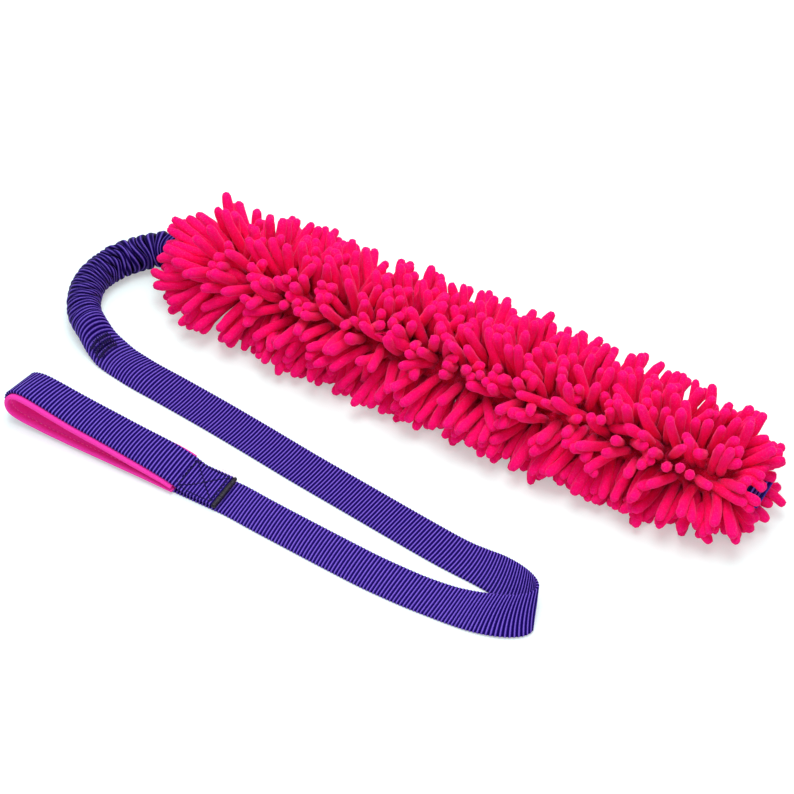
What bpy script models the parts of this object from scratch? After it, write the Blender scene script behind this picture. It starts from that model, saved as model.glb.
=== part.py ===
"""Bungee tug toy for a dog: a pile-covered mop on a webbing core, a ruched bungee and a webbing lead.

Everything is laid out in metres from the point where the mop swings on the bungee: +X runs along
the mop towards its tip, +Z is up, the floor is z = 0 and the lead lies on the -Y side. At the end
the toy is moved so that its origin is under the middle of the mop, the bungee and the hand loop.
"""

import math

import bmesh
import bpy
import numpy as np
from mathutils import Vector

# Clearance between solids that touch on the real toy
GAP = 0.0003

# Webbing: a flat tubular nylon tape, used for the lead, the hand loop and the mop's core
WEBBING_WIDTH = 0.025
WEBBING_THICKNESS = 0.002

# The lead's route, from the bungee to the hand loop. Each row is one station of the tape: the place
# of its middle (x, y in mm), the heading of the weft ribs and the lift of the far edge off the floor
# (degrees).
LEAD_ROUTE = (
    (-8.5, -80.6, 79, 0),
    (9.2, -83.3, 81, 0),
    (31.5, -85.4, 83, 0),
    (63.5, -88.9, 83, 0),
    (96.5, -93.1, 83, 0),
    (131.5, -97.9, 83, 0),
    (166.5, -102.1, 83, 0),
    (201.5, -106.3, 83, 0),
    (231.3, -109.6, 84, 0),
    (245.7, -110.7, 87, 1),
    (256.8, -111.4, 91, 5),
    (267.1, -112.7, 94, 12),
    (278.4, -115.2, 98, 20),
    (288.5, -118.4, 103, 27),
    (295.8, -122.2, 108, 33),
    (299.9, -127.4, 110, 38),
    (298.3, -132.6, 109, 39),
    (293.6, -136.7, 104, 38),
    (287.6, -139.9, 95, 36),
    (280.9, -141.9, 88, 31),
    (272.3, -142.9, 86, 21),
    (261.6, -143.5, 87, 10),
    (249.4, -144.2, 88, 3),
    (230.2, -145.2, 89, 0),
    (204.8, -145.3, 91, 0),
    (179.6, -144.0, 92, 0),
    (154.3, -142.4, 93, 0),
    (129.6, -140.7, 92, 0),
    (114.8, -139.4, 91, 0),
    (108.0, -139.0, 90, 0),
    (104.3, -139.0, 90, 0),
)
LEAD_BEND_START = 0.252
LEAD_BEND_END = 0.364
LEAD_STEP = 0.012
LEAD_BEND_STEP = 0.004
LEAD_BEND_AXIS = (0.2975, -0.1300)

# Bungee: the tape is gathered over a round elastic from the end of the lead into the mop. Each row
# is a point of the elastic's centre line (x, y, z in mm).
BUNGEE_ROUTE = (
    (-8.5, -80.6, 11.1),
    (-18.0, -78.8, 11.1),
    (-27.0, -76.2, 11.1),
    (-36.0, -72.2, 11.1),
    (-44.5, -66.4, 11.1),
    (-51.3, -58.0, 11.1),
    (-55.8, -48.5, 11.1),
    (-57.6, -38.5, 11.1),
    (-56.6, -28.5, 11.1),
    (-53.2, -18.5, 11.3),
    (-47.8, -9.8, 12.0),
    (-40.8, -2.4, 13.6),
    (-33.0, 2.6, 16.6),
    (-25.0, 4.2, 20.0),
    (-18.0, 2.6, 22.6),
    (-13.0, 0.8, 23.7),
    (-8.0, 0.0, 24.0),
)
GATHER_LENGTH = 0.027
SLEEVE_RIBS = 24
SLEEVE_RIB_RADIUS = 0.011
SLEEVE_VALLEY_RADIUS = 0.0092
SLEEVE_BORE_RADIUS = 0.0060
ELASTIC_RADIUS = 0.0053
# Width and height of the gathered tape at the given distances from the flat lead
GATHER_SECTIONS = (
    (0.000, WEBBING_WIDTH, WEBBING_THICKNESS),
    (0.005, 0.0248, 0.0030),
    (0.010, 0.0240, 0.0048),
    (0.016, 0.0228, 0.0082),
    (0.022, 0.0214, 0.0142),
    (0.027, 0.0206, 0.0200),
)
GATHER_STEP = 0.003
REAR_TACK_START = 0.008
REAR_TACK_END = 0.019
REAR_TACK_WIDTH = 0.012
TACK_THICKNESS = 0.0009

# Throat: where the mop's mouth is drawn in over the end of the bungee
THROAT_HEM_LENGTH = 0.009
THROAT_HEM_THICKNESS = 0.0016
FRONT_TACK_REAR = -0.0074
FRONT_TACK_LENGTH = 0.0120
FRONT_TACK_WIDTH = 0.0070
FRONT_TACK_HEIGHT = 0.0019

# Mop: pile fabric sewn into a tube round the core webbing, in slices
MOP_AXIS_HEIGHT = 0.026
BACKING_START = 0.008
BACKING_LENGTH = 0.356
SEAM_THICKNESS = 0.0021
BORE_SIDE_CLEARANCE = 0.0009
BORE_LOW_CLEARANCE = 0.0016
BACKING_SIDE_WALL = 0.0036
BACKING_TOP_WALL = 0.0050
BORE_HALF_WIDTH = WEBBING_WIDTH / 2 + BORE_SIDE_CLEARANCE
BORE_HALF_HEIGHT = WEBBING_THICKNESS / 2 + GAP + SEAM_THICKNESS + BORE_LOW_CLEARANCE
BACKING_HALF_WIDTH = BORE_HALF_WIDTH + BACKING_SIDE_WALL
BACKING_HALF_HEIGHT = BORE_HALF_HEIGHT + BACKING_TOP_WALL
BACKING_SIDES = 20
PILE_SLICES = 8
RINGS_PER_SLICE = 5
STRANDS_PER_RING = 8
STRAND_LENGTH = 0.0268
STRAND_SIDE = 0.0044
STRAND_ROOT_DEPTH = 0.0020
STRAND_TIP_TAPER = 0.92
FLOOR_CUT = 0.0005
# How far the outermost rings lean out over the mop's ends, in degrees, from the end inwards
END_LEANS = (56.0, 36.0, 19.0, 8.0)
RING_SWAY = 3.0

# Core webbing inside the mop, its folded tip and the seam of the pile fabric
TONGUE_RADIUS = 0.0070
TONGUE_SHOULDER = 0.0060
TONGUE_TAPER_END = 0.0140
CORE_TIP_REACH = 0.0020
TIP_FOLD_LENGTH = 0.0080
TIP_TACK_LENGTH = 0.0035
TIP_TACK_WIDTH = 0.0180
SEAM_WIDTH = 0.0080
SEAM_END_INSET = 0.0020

# Hand loop: the tape turned back on itself, lined with padded fabric and box stitched. The lower rows
# give x and the tape's rise off the floor, from the lead to the nose. The upper rows give x and the
# clear height over the lower lining, from the nose back, and the closing rows x and how much of the
# drop from there to the box stitch is left. All but that share are in mm.
LOOP_CENTRE_Y = 0.001 * LEAD_ROUTE[-1][1]
LOOP_LOWER_ROUTE = (
    (103.7, 0.0),
    (90.0, 0.0),
    (76.0, 0.0),
    (55.0, 0.0),
    (30.0, 0.0),
    (5.0, 0.0),
    (-9.0, 0.4),
    (-19.0, 1.2),
    (-28.2, 2.5),
    (-35.3, 4.7),
    (-39.7, 8.2),
)
LOOP_UPPER_ROUTE = (
    (-41.2, 3.6),
    (-39.6, 8.6),
    (-35.4, 12.0),
    (-28.6, 13.2),
    (-19.0, 12.0),
    (-8.0, 9.9),
    (6.0, 7.6),
    (24.0, 5.5),
    (42.0, 3.4),
    (58.0, 1.8),
    (68.0, 1.0),
    (75.5, 0.4),
)
LOOP_CLOSING_ROUTE = ((81.5, 0.64), (86.0, 0.18), (91.0, 0.0), (101.0, 0.0))
LOOP_STEP = 0.006
LINING_THICKNESS = 0.0035
LINING_WIDTH = 0.0290
LINING_END_X = 0.0755
LINING_SEAM_END_X = 0.0580
LINING_SEAM_INSET = 0.0040
LINING_SEAM_WIDTH = 0.0008
LINING_SEAM_HEIGHT = 0.0005
CUT_END_X = 0.001 * LOOP_CLOSING_ROUTE[-1][0]
CUT_END_LENGTH = 0.0024
CUT_END_OVERHANG = 0.0002
BOX_STITCH_LENGTH = 0.0095
BOX_STITCH_WIDTH = 0.0200
BOX_STITCH_THREAD = 0.0009
BOX_STITCH_HEIGHT = 0.0005
BOX_STITCH_END_MARGIN = 0.0013
LOOP_HINGE_X = 0.001 * LOOP_LOWER_ROUTE[0][0] + GAP
LABEL_LENGTH = 0.0130
LABEL_THICKNESS = 0.0004
LABEL_INSIDE = 0.0060
LABEL_OUTSIDE = 0.0030

# Colours as linear RGB, roughness
FINISHES = {
    "purple_nylon_webbing": ((0.042, 0.014, 0.352), 0.62),
    "purple_ruched_webbing": ((0.032, 0.012, 0.300), 0.62),
    "white_elastic": ((0.700, 0.690, 0.660), 0.70),
    "dark_purple_thread": ((0.012, 0.005, 0.080), 0.60),
    "heat_cut_nylon": ((0.010, 0.008, 0.022), 0.45),
    "pink_chenille": ((0.914, 0.000, 0.130), 0.95),
    "pink_padded_fabric": ((0.807, 0.014, 0.323), 0.88),
    "pink_thread": ((0.880, 0.060, 0.400), 0.70),
    "white_label_satin": ((0.800, 0.800, 0.790), 0.50),
}


def mm(value):
    """Millimetres of a route's table in metres."""
    return value * 0.001


def clear_scene():
    for item in list(bpy.data.objects):
        bpy.data.objects.remove(item, do_unlink=True)


def finish(name):
    """The named finish as a Principled material, made once."""
    found = bpy.data.materials.get(name)
    if found:
        return found
    colour, roughness = FINISHES[name]
    made = bpy.data.materials.new(name)
    made.use_nodes = True
    shader = made.node_tree.nodes["Principled BSDF"]
    shader.inputs["Base Color"].default_value = (*colour, 1.0)
    shader.inputs["Roughness"].default_value = roughness
    shader.inputs["Metallic"].default_value = 0.0
    made.diffuse_color = (*colour, 1.0)
    return made


def axis_empty(name, place, parent=None):
    """An empty on a joint's axis, which carries the pieces that move with the joint."""
    empty = bpy.data.objects.new(name, None)
    bpy.context.collection.objects.link(empty)
    empty.empty_display_size = 0.02
    carry(empty, parent)
    empty.location = Vector(place) - (parent_place(parent) if parent else Vector())
    bpy.context.view_layer.update()
    return empty


def parent_place(parent):
    return parent.matrix_world.translation


def carry(item, parent):
    if parent is not None:
        item.parent = parent


def place_mesh(name, bm, material, parent, smooth=False):
    """Makes a bmesh, whose points are layout positions, into an object carried by its parent."""
    bmesh.ops.recalc_face_normals(bm, faces=bm.faces)
    mesh = bpy.data.meshes.new(name)
    bm.to_mesh(mesh)
    bm.free()
    item = bpy.data.objects.new(name, mesh)
    bpy.context.collection.objects.link(item)
    mesh.materials.append(finish(material))
    if smooth:
        mesh.shade_smooth()
        mesh.set_sharp_from_angle(angle=math.radians(40))
    carry(item, parent)
    item.matrix_parent_inverse = parent.matrix_world.inverted()
    return item


def as_guide(item):
    """Marks an object as a cutter, which the finished toy doesn't hold."""
    item.hide_render = True
    item.display_type = "WIRE"
    return item


def boolean(item, other, operation):
    cut = item.modifiers.new(operation.lower(), "BOOLEAN")
    cut.operation = operation
    cut.solver = "EXACT"
    cut.object = other


def smooth_rows(rows, per_span=12):
    """Points of a smooth curve through the rows, which may hold any values, angles too."""
    rows = np.array(rows, float)
    before = np.vstack([2 * rows[0] - rows[1], rows[:-1]])
    after = np.vstack([rows[1:], 2 * rows[-1] - rows[-2]])
    slopes = (after - before) / 2
    points = []
    for index in range(len(rows) - 1):
        for t in np.linspace(0, 1, per_span, endpoint=False):
            points.append(
                (2 * t**3 - 3 * t**2 + 1) * rows[index]
                + (t**3 - 2 * t**2 + t) * slopes[index]
                + (3 * t**2 - 2 * t**3) * rows[index + 1]
                + (t**3 - t**2) * slopes[index + 1]
            )
    points.append(rows[-1])
    return np.array(points)


def distances(points):
    """Distance along a row of points, from the first."""
    steps = np.linalg.norm(np.diff(points, axis=0), axis=1)
    return np.concatenate([[0.0], np.cumsum(steps)])


def at_distances(points, along, wanted):
    """The row of points read at the wanted distances along it."""
    return np.array([[np.interp(w, along, column) for column in points.T] for w in wanted])


def spaced(start, end, step):
    """Even distances from start to end, no further apart than step."""
    count = max(1, math.ceil((end - start) / step))
    return np.linspace(start, end, count + 1)


def loft(rings):
    """A closed solid through rings of points, each ring with the same number of points."""
    bm = bmesh.new()
    rows = [[bm.verts.new(point) for point in ring] for ring in rings]
    size = len(rows[0])
    for low, high in zip(rows, rows[1:]):
        for i in range(size):
            j = (i + 1) % size
            bm.faces.new((low[i], low[j], high[j], high[i]))
    bm.faces.new(list(reversed(rows[0])))
    bm.faces.new(rows[-1])
    return bm


def tube(outer_rings, inner_rings):
    """A closed wall between outer and inner rings, open at both ends."""
    bm = bmesh.new()
    outer = [[bm.verts.new(point) for point in ring] for ring in outer_rings]
    inner = [[bm.verts.new(point) for point in ring] for ring in inner_rings]
    size = len(outer[0])
    for i in range(size):
        j = (i + 1) % size
        for low, high in zip(outer, outer[1:]):
            bm.faces.new((low[i], low[j], high[j], high[i]))
        for low, high in zip(inner, inner[1:]):
            bm.faces.new((high[i], high[j], low[j], low[i]))
        bm.faces.new((inner[0][i], inner[0][j], outer[0][j], outer[0][i]))
        bm.faces.new((outer[-1][i], outer[-1][j], inner[-1][j], inner[-1][i]))
    return bm


def block(low, high):
    """A bmesh box between two corners."""
    bm = bmesh.new()
    size = Vector(high) - Vector(low)
    middle = (Vector(high) + Vector(low)) / 2
    bmesh.ops.create_cube(bm, size=1.0)
    bmesh.ops.scale(bm, vec=size, verts=bm.verts)
    bmesh.ops.translate(bm, vec=middle, verts=bm.verts)
    return bm


def raise_plate(bm, outline, low_z, thickness):
    """Adds a flat outline in x and y, extruded upwards, to a bmesh."""
    face = bm.faces.new([bm.verts.new((x, y, low_z)) for x, y in outline])
    grown = bmesh.ops.extrude_face_region(bm, geom=[face])
    raised = [part for part in grown["geom"] if isinstance(part, bmesh.types.BMVert)]
    bmesh.ops.translate(bm, vec=(0, 0, thickness), verts=raised)


def plate(outline, low_z, thickness):
    """A bmesh plate of a flat outline in x and y."""
    bm = bmesh.new()
    raise_plate(bm, outline, low_z, thickness)
    return bm


def unit(rows):
    return rows / np.linalg.norm(rows, axis=-1, keepdims=True)


def lead_edges():
    """Near and far edge of the lead's middle surface, and the distance along its centre line."""
    rows = smooth_rows(LEAD_ROUTE)
    heading = np.radians(rows[:, 2])
    lift = np.radians(np.maximum(rows[:, 3], 0.0))
    across = np.stack(
        [np.cos(heading) * np.cos(lift), np.sin(heading) * np.cos(lift), np.sin(lift)], axis=1
    )
    height = WEBBING_THICKNESS / 2 + np.sin(lift) * WEBBING_WIDTH / 2
    middle = np.stack([mm(rows[:, 0]), mm(rows[:, 1]), height], axis=1)
    near = middle - across * WEBBING_WIDTH / 2
    far = middle + across * WEBBING_WIDTH / 2
    return near, far, distances((near + far) / 2)


def lead_piece(name, start, end, step, parent):
    """The stretch of the lead between two distances along it, as a solid tape."""
    near, far, along = lead_edges()
    wanted = spaced(start + GAP / 2, end - GAP / 2, step)
    near_cut = at_distances(near, along, wanted)
    far_cut = at_distances(far, along, wanted)
    across = unit(far_cut - near_cut)
    forward = unit(np.gradient((near_cut + far_cut) / 2, axis=0))
    normal = unit(np.cross(forward, across)) * WEBBING_THICKNESS / 2
    rings = [(n - h, f - h, f + h, n + h) for n, f, h in zip(near_cut, far_cut, normal)]
    return place_mesh(name, loft(rings), "purple_nylon_webbing", parent)


def make_lead(root, near_lead):
    """The flat lead: the far strand, the bend that stands on its edge, and the near strand."""
    length = lead_edges()[2][-1]
    lead_piece("lead_far_strand", 0.0, LEAD_BEND_START, LEAD_STEP, root)
    lead_piece("lead_bend", LEAD_BEND_START, LEAD_BEND_END, LEAD_BEND_STEP, root)
    lead_piece("lead_near_strand", LEAD_BEND_END, length, LEAD_STEP, near_lead)


def bungee_line():
    """Centre line of the bungee and the distance along it."""
    points = mm(smooth_rows(BUNGEE_ROUTE))
    return points, distances(points)


def gather_frame(distance):
    """Place on the floor, sideways direction, width and height of the gathered tape."""
    points, along = bungee_line()
    ahead, behind = at_distances(points, along, (distance + 0.002, distance - 0.002))
    forward = Vector((ahead[0] - behind[0], ahead[1] - behind[1], 0)).normalized()
    side = Vector((-forward.y, forward.x, 0))
    place = at_distances(points, along, (distance,))[0]
    known, widths, heights = zip(*GATHER_SECTIONS)
    width = np.interp(distance, known, widths)
    height = np.interp(distance, known, heights)
    return Vector((place[0], place[1], 0)), side, width, height


def make_gather(root):
    """The end of the lead, gathered from a flat tape to a round sleeve, with its bar tack on top."""
    rings = []
    stations = spaced(GAP, GATHER_LENGTH, GATHER_STEP)
    for distance in stations:
        place, side, width, height = gather_frame(distance)
        corner = min(width, height) * 0.29
        half = width / 2
        outline = (
            (half - corner, 0),
            (half, corner),
            (half, height - corner),
            (half - corner, height),
            (corner - half, height),
            (-half, height - corner),
            (-half, corner),
            (corner - half, 0),
        )
        rings.append([place + side * s + Vector((0, 0, z)) for s, z in outline])
    place_mesh("lead_gather", loft(rings), "purple_nylon_webbing", root)

    rings = []
    half = REAR_TACK_WIDTH / 2
    tacked = stations[(stations >= REAR_TACK_START) & (stations <= REAR_TACK_END)]
    for distance in tacked:
        place, side, _, height = gather_frame(distance)
        low = height + GAP
        high = low + TACK_THICKNESS
        outline = ((half, low), (half, high), (-half, high), (-half, low))
        rings.append([place + side * s + Vector((0, 0, z)) for s, z in outline])
    place_mesh("rear_bar_tack", loft(rings), "dark_purple_thread", root)


def tube_curve(name, points, radii, material, parent):
    """A round tube along points, with a radius for each of them."""
    curve = bpy.data.curves.new(name, "CURVE")
    curve.dimensions = "3D"
    curve.bevel_depth = 1.0
    curve.bevel_resolution = 2
    curve.use_fill_caps = True
    spline = curve.splines.new("POLY")
    spline.points.add(len(points) - 1)
    for point, place, radius in zip(spline.points, points, radii):
        point.co = (*place, 1.0)
        point.radius = radius
    item = bpy.data.objects.new(name, curve)
    bpy.context.collection.objects.link(item)
    curve.materials.append(finish(material))
    carry(item, parent)
    item.matrix_parent_inverse = parent.matrix_world.inverted()
    return item


def circle(centre, forward, radius, sides=12):
    """Points of a circle round an axis that runs forward."""
    forward = Vector(forward).normalized()
    side = forward.cross(Vector((0, 0, 1))).normalized()
    up = side.cross(forward)
    turns = [2 * math.pi * i / sides for i in range(sides)]
    return [Vector(centre) + (side * math.cos(a) + up * math.sin(a)) * radius for a in turns]


def bungee_circle(points, along, distance, radius):
    """A circle square to the bungee at a distance along it."""
    behind = at_distances(points, along, (distance - 0.001,))[0]
    ahead = at_distances(points, along, (distance + 0.001,))[0]
    return circle((behind + ahead) / 2, ahead - behind, radius)


def make_bungee(root):
    """The ruched sleeve with its bore, and the elastic that lies in it."""
    points, along = bungee_line()
    start, end = GATHER_LENGTH + GAP, along[-1]
    rib_stops = np.linspace(start, end, 2 * SLEEVE_RIBS + 1)
    plain_stops = spaced(start, end, 0.006)
    outer, inner = [], []
    for index, distance in enumerate(rib_stops):
        radius = SLEEVE_RIB_RADIUS if index % 2 else SLEEVE_VALLEY_RADIUS
        outer.append(bungee_circle(points, along, distance, radius))
    for distance in plain_stops:
        inner.append(bungee_circle(points, along, distance, SLEEVE_BORE_RADIUS))
    place_mesh("bungee_sleeve", tube(outer, inner), "purple_ruched_webbing", root)

    places = at_distances(points, along, plain_stops)
    tube_curve("bungee_elastic", places, [ELASTIC_RADIUS] * len(places), "white_elastic", root)


def make_throat(bungee_front):
    """The sewn hem of the mop's mouth on the sleeve's end, and the tack that holds the elastic."""
    points, along = bungee_line()
    end = along[-1]
    rear, front = at_distances(points, along, (end - THROAT_HEM_LENGTH - 0.001, end - 0.001))
    inner = SLEEVE_RIB_RADIUS + GAP
    outer = inner + THROAT_HEM_THICKNESS
    forward = front - rear
    bm = tube(
        [circle(rear, forward, outer), circle(front, forward, outer)],
        [circle(rear, forward, inner), circle(front, forward, inner)],
    )
    place_mesh("throat_hem", bm, "pink_padded_fabric", bungee_front)

    low = MOP_AXIS_HEIGHT + WEBBING_THICKNESS / 2 + GAP
    bm = block(
        (FRONT_TACK_REAR, -FRONT_TACK_WIDTH / 2, low),
        (FRONT_TACK_REAR + FRONT_TACK_LENGTH, FRONT_TACK_WIDTH / 2, low + FRONT_TACK_HEIGHT),
    )
    place_mesh("front_bar_tack", bm, "dark_purple_thread", bungee_front)


def ellipse_ring(x, half_width, half_height):
    """Points of an upright ellipse round the mop's axis."""
    turns = [2 * math.pi * i / BACKING_SIDES for i in range(BACKING_SIDES)]
    return [
        (x, half_width * math.cos(a), MOP_AXIS_HEIGHT + half_height * math.sin(a)) for a in turns
    ]


def strand_turns(ring):
    """Angles of a ring's strands, evenly spaced round the backing and staggered from ring to ring."""
    fine = np.linspace(0, 2 * math.pi, 721)
    walk = np.stack([BACKING_HALF_WIDTH * np.cos(fine), BACKING_HALF_HEIGHT * np.sin(fine)], axis=1)
    along = distances(walk)
    share = (np.arange(STRANDS_PER_RING) + 0.25 + 0.5 * (ring % 2)) / STRANDS_PER_RING
    return np.interp(share * along[-1], along, fine)


def ring_lean(ring, ring_count):
    """Lean of a ring's strands along the mop, outwards over the two ends."""
    if ring < len(END_LEANS):
        return -END_LEANS[ring]
    if ring_count - 1 - ring < len(END_LEANS):
        return END_LEANS[ring_count - 1 - ring]
    return RING_SWAY * math.sin(1.9 * ring)


def add_strand(bm, x, turn, lean):
    """One four-sided strand, rooted in the backing's wall and ending just under the floor at most."""
    surface = Vector(
        (x, BACKING_HALF_WIDTH * math.cos(turn), MOP_AXIS_HEIGHT + BACKING_HALF_HEIGHT * math.sin(turn))
    )
    outwards = Vector(
        (0, math.cos(turn) / BACKING_HALF_WIDTH, math.sin(turn) / BACKING_HALF_HEIGHT)
    ).normalized()
    lean = math.radians(lean)
    forward = outwards * math.cos(lean) + Vector((math.sin(lean), 0, 0))
    root = surface - outwards * STRAND_ROOT_DEPTH
    length = STRAND_ROOT_DEPTH + STRAND_LENGTH
    if forward.z < 0:
        length = min(length, (root.z + FLOOR_CUT) / -forward.z)
    side = forward.cross(Vector((1, 0, 0))).normalized()
    other = side.cross(forward)
    half = STRAND_SIDE / 2
    corners = ((half, half), (-half, half), (-half, -half), (half, -half))
    rows = []
    for reach, share in ((0.0, 1.0), (length, STRAND_TIP_TAPER)):
        centre = root + forward * reach
        rows.append([bm.verts.new(centre + (side * a + other * b) * share) for a, b in corners])
    for i in range(4):
        j = (i + 1) % 4
        bm.faces.new((rows[0][i], rows[0][j], rows[1][j], rows[1][i]))
    bm.faces.new(list(reversed(rows[0])))
    bm.faces.new(rows[1])


def make_mop(mop):
    """The pile in slices of its backing, each fused with its own strands and cut flat at the floor."""
    slice_length = BACKING_LENGTH / PILE_SLICES
    ring_count = PILE_SLICES * RINGS_PER_SLICE
    ring_pitch = slice_length / RINGS_PER_SLICE
    reach = BACKING_HALF_WIDTH + STRAND_LENGTH * 2
    floor = block(
        (BACKING_START - reach, -reach, -0.02), (BACKING_START + BACKING_LENGTH + reach, reach, 0.0)
    )
    floor = as_guide(place_mesh("floor_cutter", floor, "pink_chenille", mop))
    for number in range(PILE_SLICES):
        low = BACKING_START + number * slice_length
        high = low + slice_length - GAP
        bm = tube(
            [ellipse_ring(x, BACKING_HALF_WIDTH, BACKING_HALF_HEIGHT) for x in (low, high)],
            [ellipse_ring(x, BORE_HALF_WIDTH, BORE_HALF_HEIGHT) for x in (low, high)],
        )
        backing = place_mesh(f"mop_pile_{number + 1}", bm, "pink_chenille", mop)
        bm = bmesh.new()
        for inner_ring in range(RINGS_PER_SLICE):
            ring = number * RINGS_PER_SLICE + inner_ring
            x = low + (inner_ring + 0.5) * ring_pitch
            for turn in strand_turns(ring):
                add_strand(bm, x, turn, ring_lean(ring, ring_count))
        strands = place_mesh(f"strands_{number + 1}_joiner", bm, "pink_chenille", mop)
        boolean(backing, as_guide(strands), "UNION")
        boolean(backing, floor, "DIFFERENCE")


def make_core(mop):
    """The core webbing through the mop, its folded and tacked tip, and the fabric's closing seam."""
    half = WEBBING_WIDTH / 2
    tip = BACKING_START + BACKING_LENGTH + CORE_TIP_REACH
    low = MOP_AXIS_HEIGHT - WEBBING_THICKNESS / 2
    turns = [math.pi * (0.5 + i / 8) for i in range(9)]
    outline = [(TONGUE_RADIUS * math.cos(a), TONGUE_RADIUS * math.sin(a)) for a in turns]
    outline += [(TONGUE_SHOULDER, -TONGUE_RADIUS), (TONGUE_TAPER_END, -half), (tip, -half)]
    outline += [(tip, half), (TONGUE_TAPER_END, half), (TONGUE_SHOULDER, TONGUE_RADIUS)]
    place_mesh("core_webbing", plate(outline, low, WEBBING_THICKNESS), "purple_nylon_webbing", mop)

    fold_start = tip + GAP
    fold_end = fold_start + TIP_FOLD_LENGTH
    fold_height = 2 * WEBBING_THICKNESS
    bm = block(
        (fold_start, -half, MOP_AXIS_HEIGHT - fold_height / 2),
        (fold_end, half, MOP_AXIS_HEIGHT + fold_height / 2),
    )
    nose = [edge for edge in bm.edges if all(abs(v.co.x - fold_end) < 1e-6 for v in edge.verts)]
    nose = [edge for edge in nose if abs(edge.verts[0].co.y - edge.verts[1].co.y) > half]
    bmesh.ops.bevel(
        bm, geom=nose, offset=fold_height * 0.45, segments=3, profile=0.5, affect="EDGES"
    )
    place_mesh("tip_webbing_fold", bm, "purple_nylon_webbing", mop)

    tack_start = fold_start + (TIP_FOLD_LENGTH - TIP_TACK_LENGTH) / 3
    tack_low = MOP_AXIS_HEIGHT + fold_height / 2 + GAP
    bm = block(
        (tack_start, -TIP_TACK_WIDTH / 2, tack_low),
        (tack_start + TIP_TACK_LENGTH, TIP_TACK_WIDTH / 2, tack_low + TACK_THICKNESS),
    )
    place_mesh("tip_bar_tack", bm, "dark_purple_thread", mop)

    seam_top = low - GAP
    bm = block(
        (BACKING_START + SEAM_END_INSET, -SEAM_WIDTH / 2, seam_top - SEAM_THICKNESS),
        (BACKING_START + BACKING_LENGTH - SEAM_END_INSET, SEAM_WIDTH / 2, seam_top),
    )
    place_mesh("closing_seam", bm, "pink_chenille", mop)


def loop_line():
    """Middle line of the hand loop's tape in x and height, and the distance along it."""
    half = WEBBING_THICKNESS / 2
    closed = 2 * (WEBBING_THICKNESS + GAP + LINING_THICKNESS) - half
    sewn = WEBBING_THICKNESS + LABEL_THICKNESS + 2 * GAP + half
    rows = [(mm(x), half + mm(rise)) for x, rise in LOOP_LOWER_ROUTE]
    rows += [(mm(x), closed + mm(clear)) for x, clear in LOOP_UPPER_ROUTE]
    rows += [(mm(x), sewn + (closed - sewn) * share) for x, share in LOOP_CLOSING_ROUTE]
    points = smooth_rows(rows)
    points[:, 1] = np.maximum(points[:, 1], half)
    return points, distances(points)


def loop_stations():
    """Stations round the loop's tape, some at the lining's ends: the points and inward directions."""
    line, along = loop_line()
    nose = np.argmin(line[:, 0])
    start = np.interp(-LINING_END_X, -line[:nose, 0], along[:nose])
    end = np.interp(LINING_END_X, line[nose:, 0], along[nose:])
    before = spaced(0.0, start, LOOP_STEP)[:-1]
    after = spaced(end, along[-1], LOOP_STEP / 2)[1:]
    stops = np.concatenate([before, spaced(start, end, LOOP_STEP), after])
    forward = at_distances(line, along, stops + 0.001) - at_distances(line, along, stops - 0.001)
    forward = unit(forward)
    inwards = np.stack([forward[:, 1], -forward[:, 0]], axis=1)
    return at_distances(line, along, stops), inwards


def loop_layer(low_depth, high_depth, end_x, width, middle_y=LOOP_CENTRE_Y):
    """A layer of the loop between two depths inside its tape's middle, both ends of it at end_x."""
    points, inwards = loop_stations()
    spanned = points[:, 0] < end_x + 1e-6
    points, inwards = points[spanned], inwards[spanned]
    near, far = middle_y - width / 2, middle_y + width / 2
    rings = []
    for (ax, az), (bx, bz) in zip(points + inwards * low_depth, points + inwards * high_depth):
        rings.append([(ax, near, az), (ax, far, az), (bx, far, bz), (bx, near, bz)])
    return loft(rings)


def make_hand_loop(hand_loop):
    """The folded tape of the hand loop and the padded lining that is sewn round its inside."""
    half = WEBBING_THICKNESS / 2
    tape = loop_layer(-half, half, LOOP_HINGE_X, WEBBING_WIDTH)
    place_mesh("hand_loop_webbing", tape, "purple_nylon_webbing", hand_loop)

    low = half + GAP
    high = low + LINING_THICKNESS
    lining = loop_layer(low, high, LINING_END_X, LINING_WIDTH)
    place_mesh("hand_loop_lining", lining, "pink_padded_fabric", hand_loop)

    low = high + GAP
    high = low + LINING_SEAM_HEIGHT
    inset = LINING_WIDTH / 2 - LINING_SEAM_INSET
    for name, side in (("lining_seam_near", -1), ("lining_seam_far", 1)):
        middle_y = LOOP_CENTRE_Y + side * inset
        seam = loop_layer(low, high, LINING_SEAM_END_X, LINING_SEAM_WIDTH, middle_y)
        place_mesh(name, seam, "pink_thread", hand_loop)


def box_stitch_holes(half, half_width):
    """The four triangles that a box of thread and its two diagonals leave open."""
    diagonal = math.hypot(half, half_width)
    side_x, side_y = half - BOX_STITCH_THREAD, half_width - BOX_STITCH_THREAD
    near_x = BOX_STITCH_THREAD * diagonal / half_width / 2
    near_y = BOX_STITCH_THREAD * diagonal / half / 2
    far_x = side_y * half / half_width - near_x
    far_y = side_x * half_width / half - near_y
    return (
        [(-far_x, -side_y), (far_x, -side_y), (0, -near_y)],
        [(far_x, side_y), (-far_x, side_y), (0, near_y)],
        [(-side_x, far_y), (-side_x, -far_y), (-near_x, 0)],
        [(side_x, -far_y), (side_x, far_y), (near_x, 0)],
    )


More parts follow.
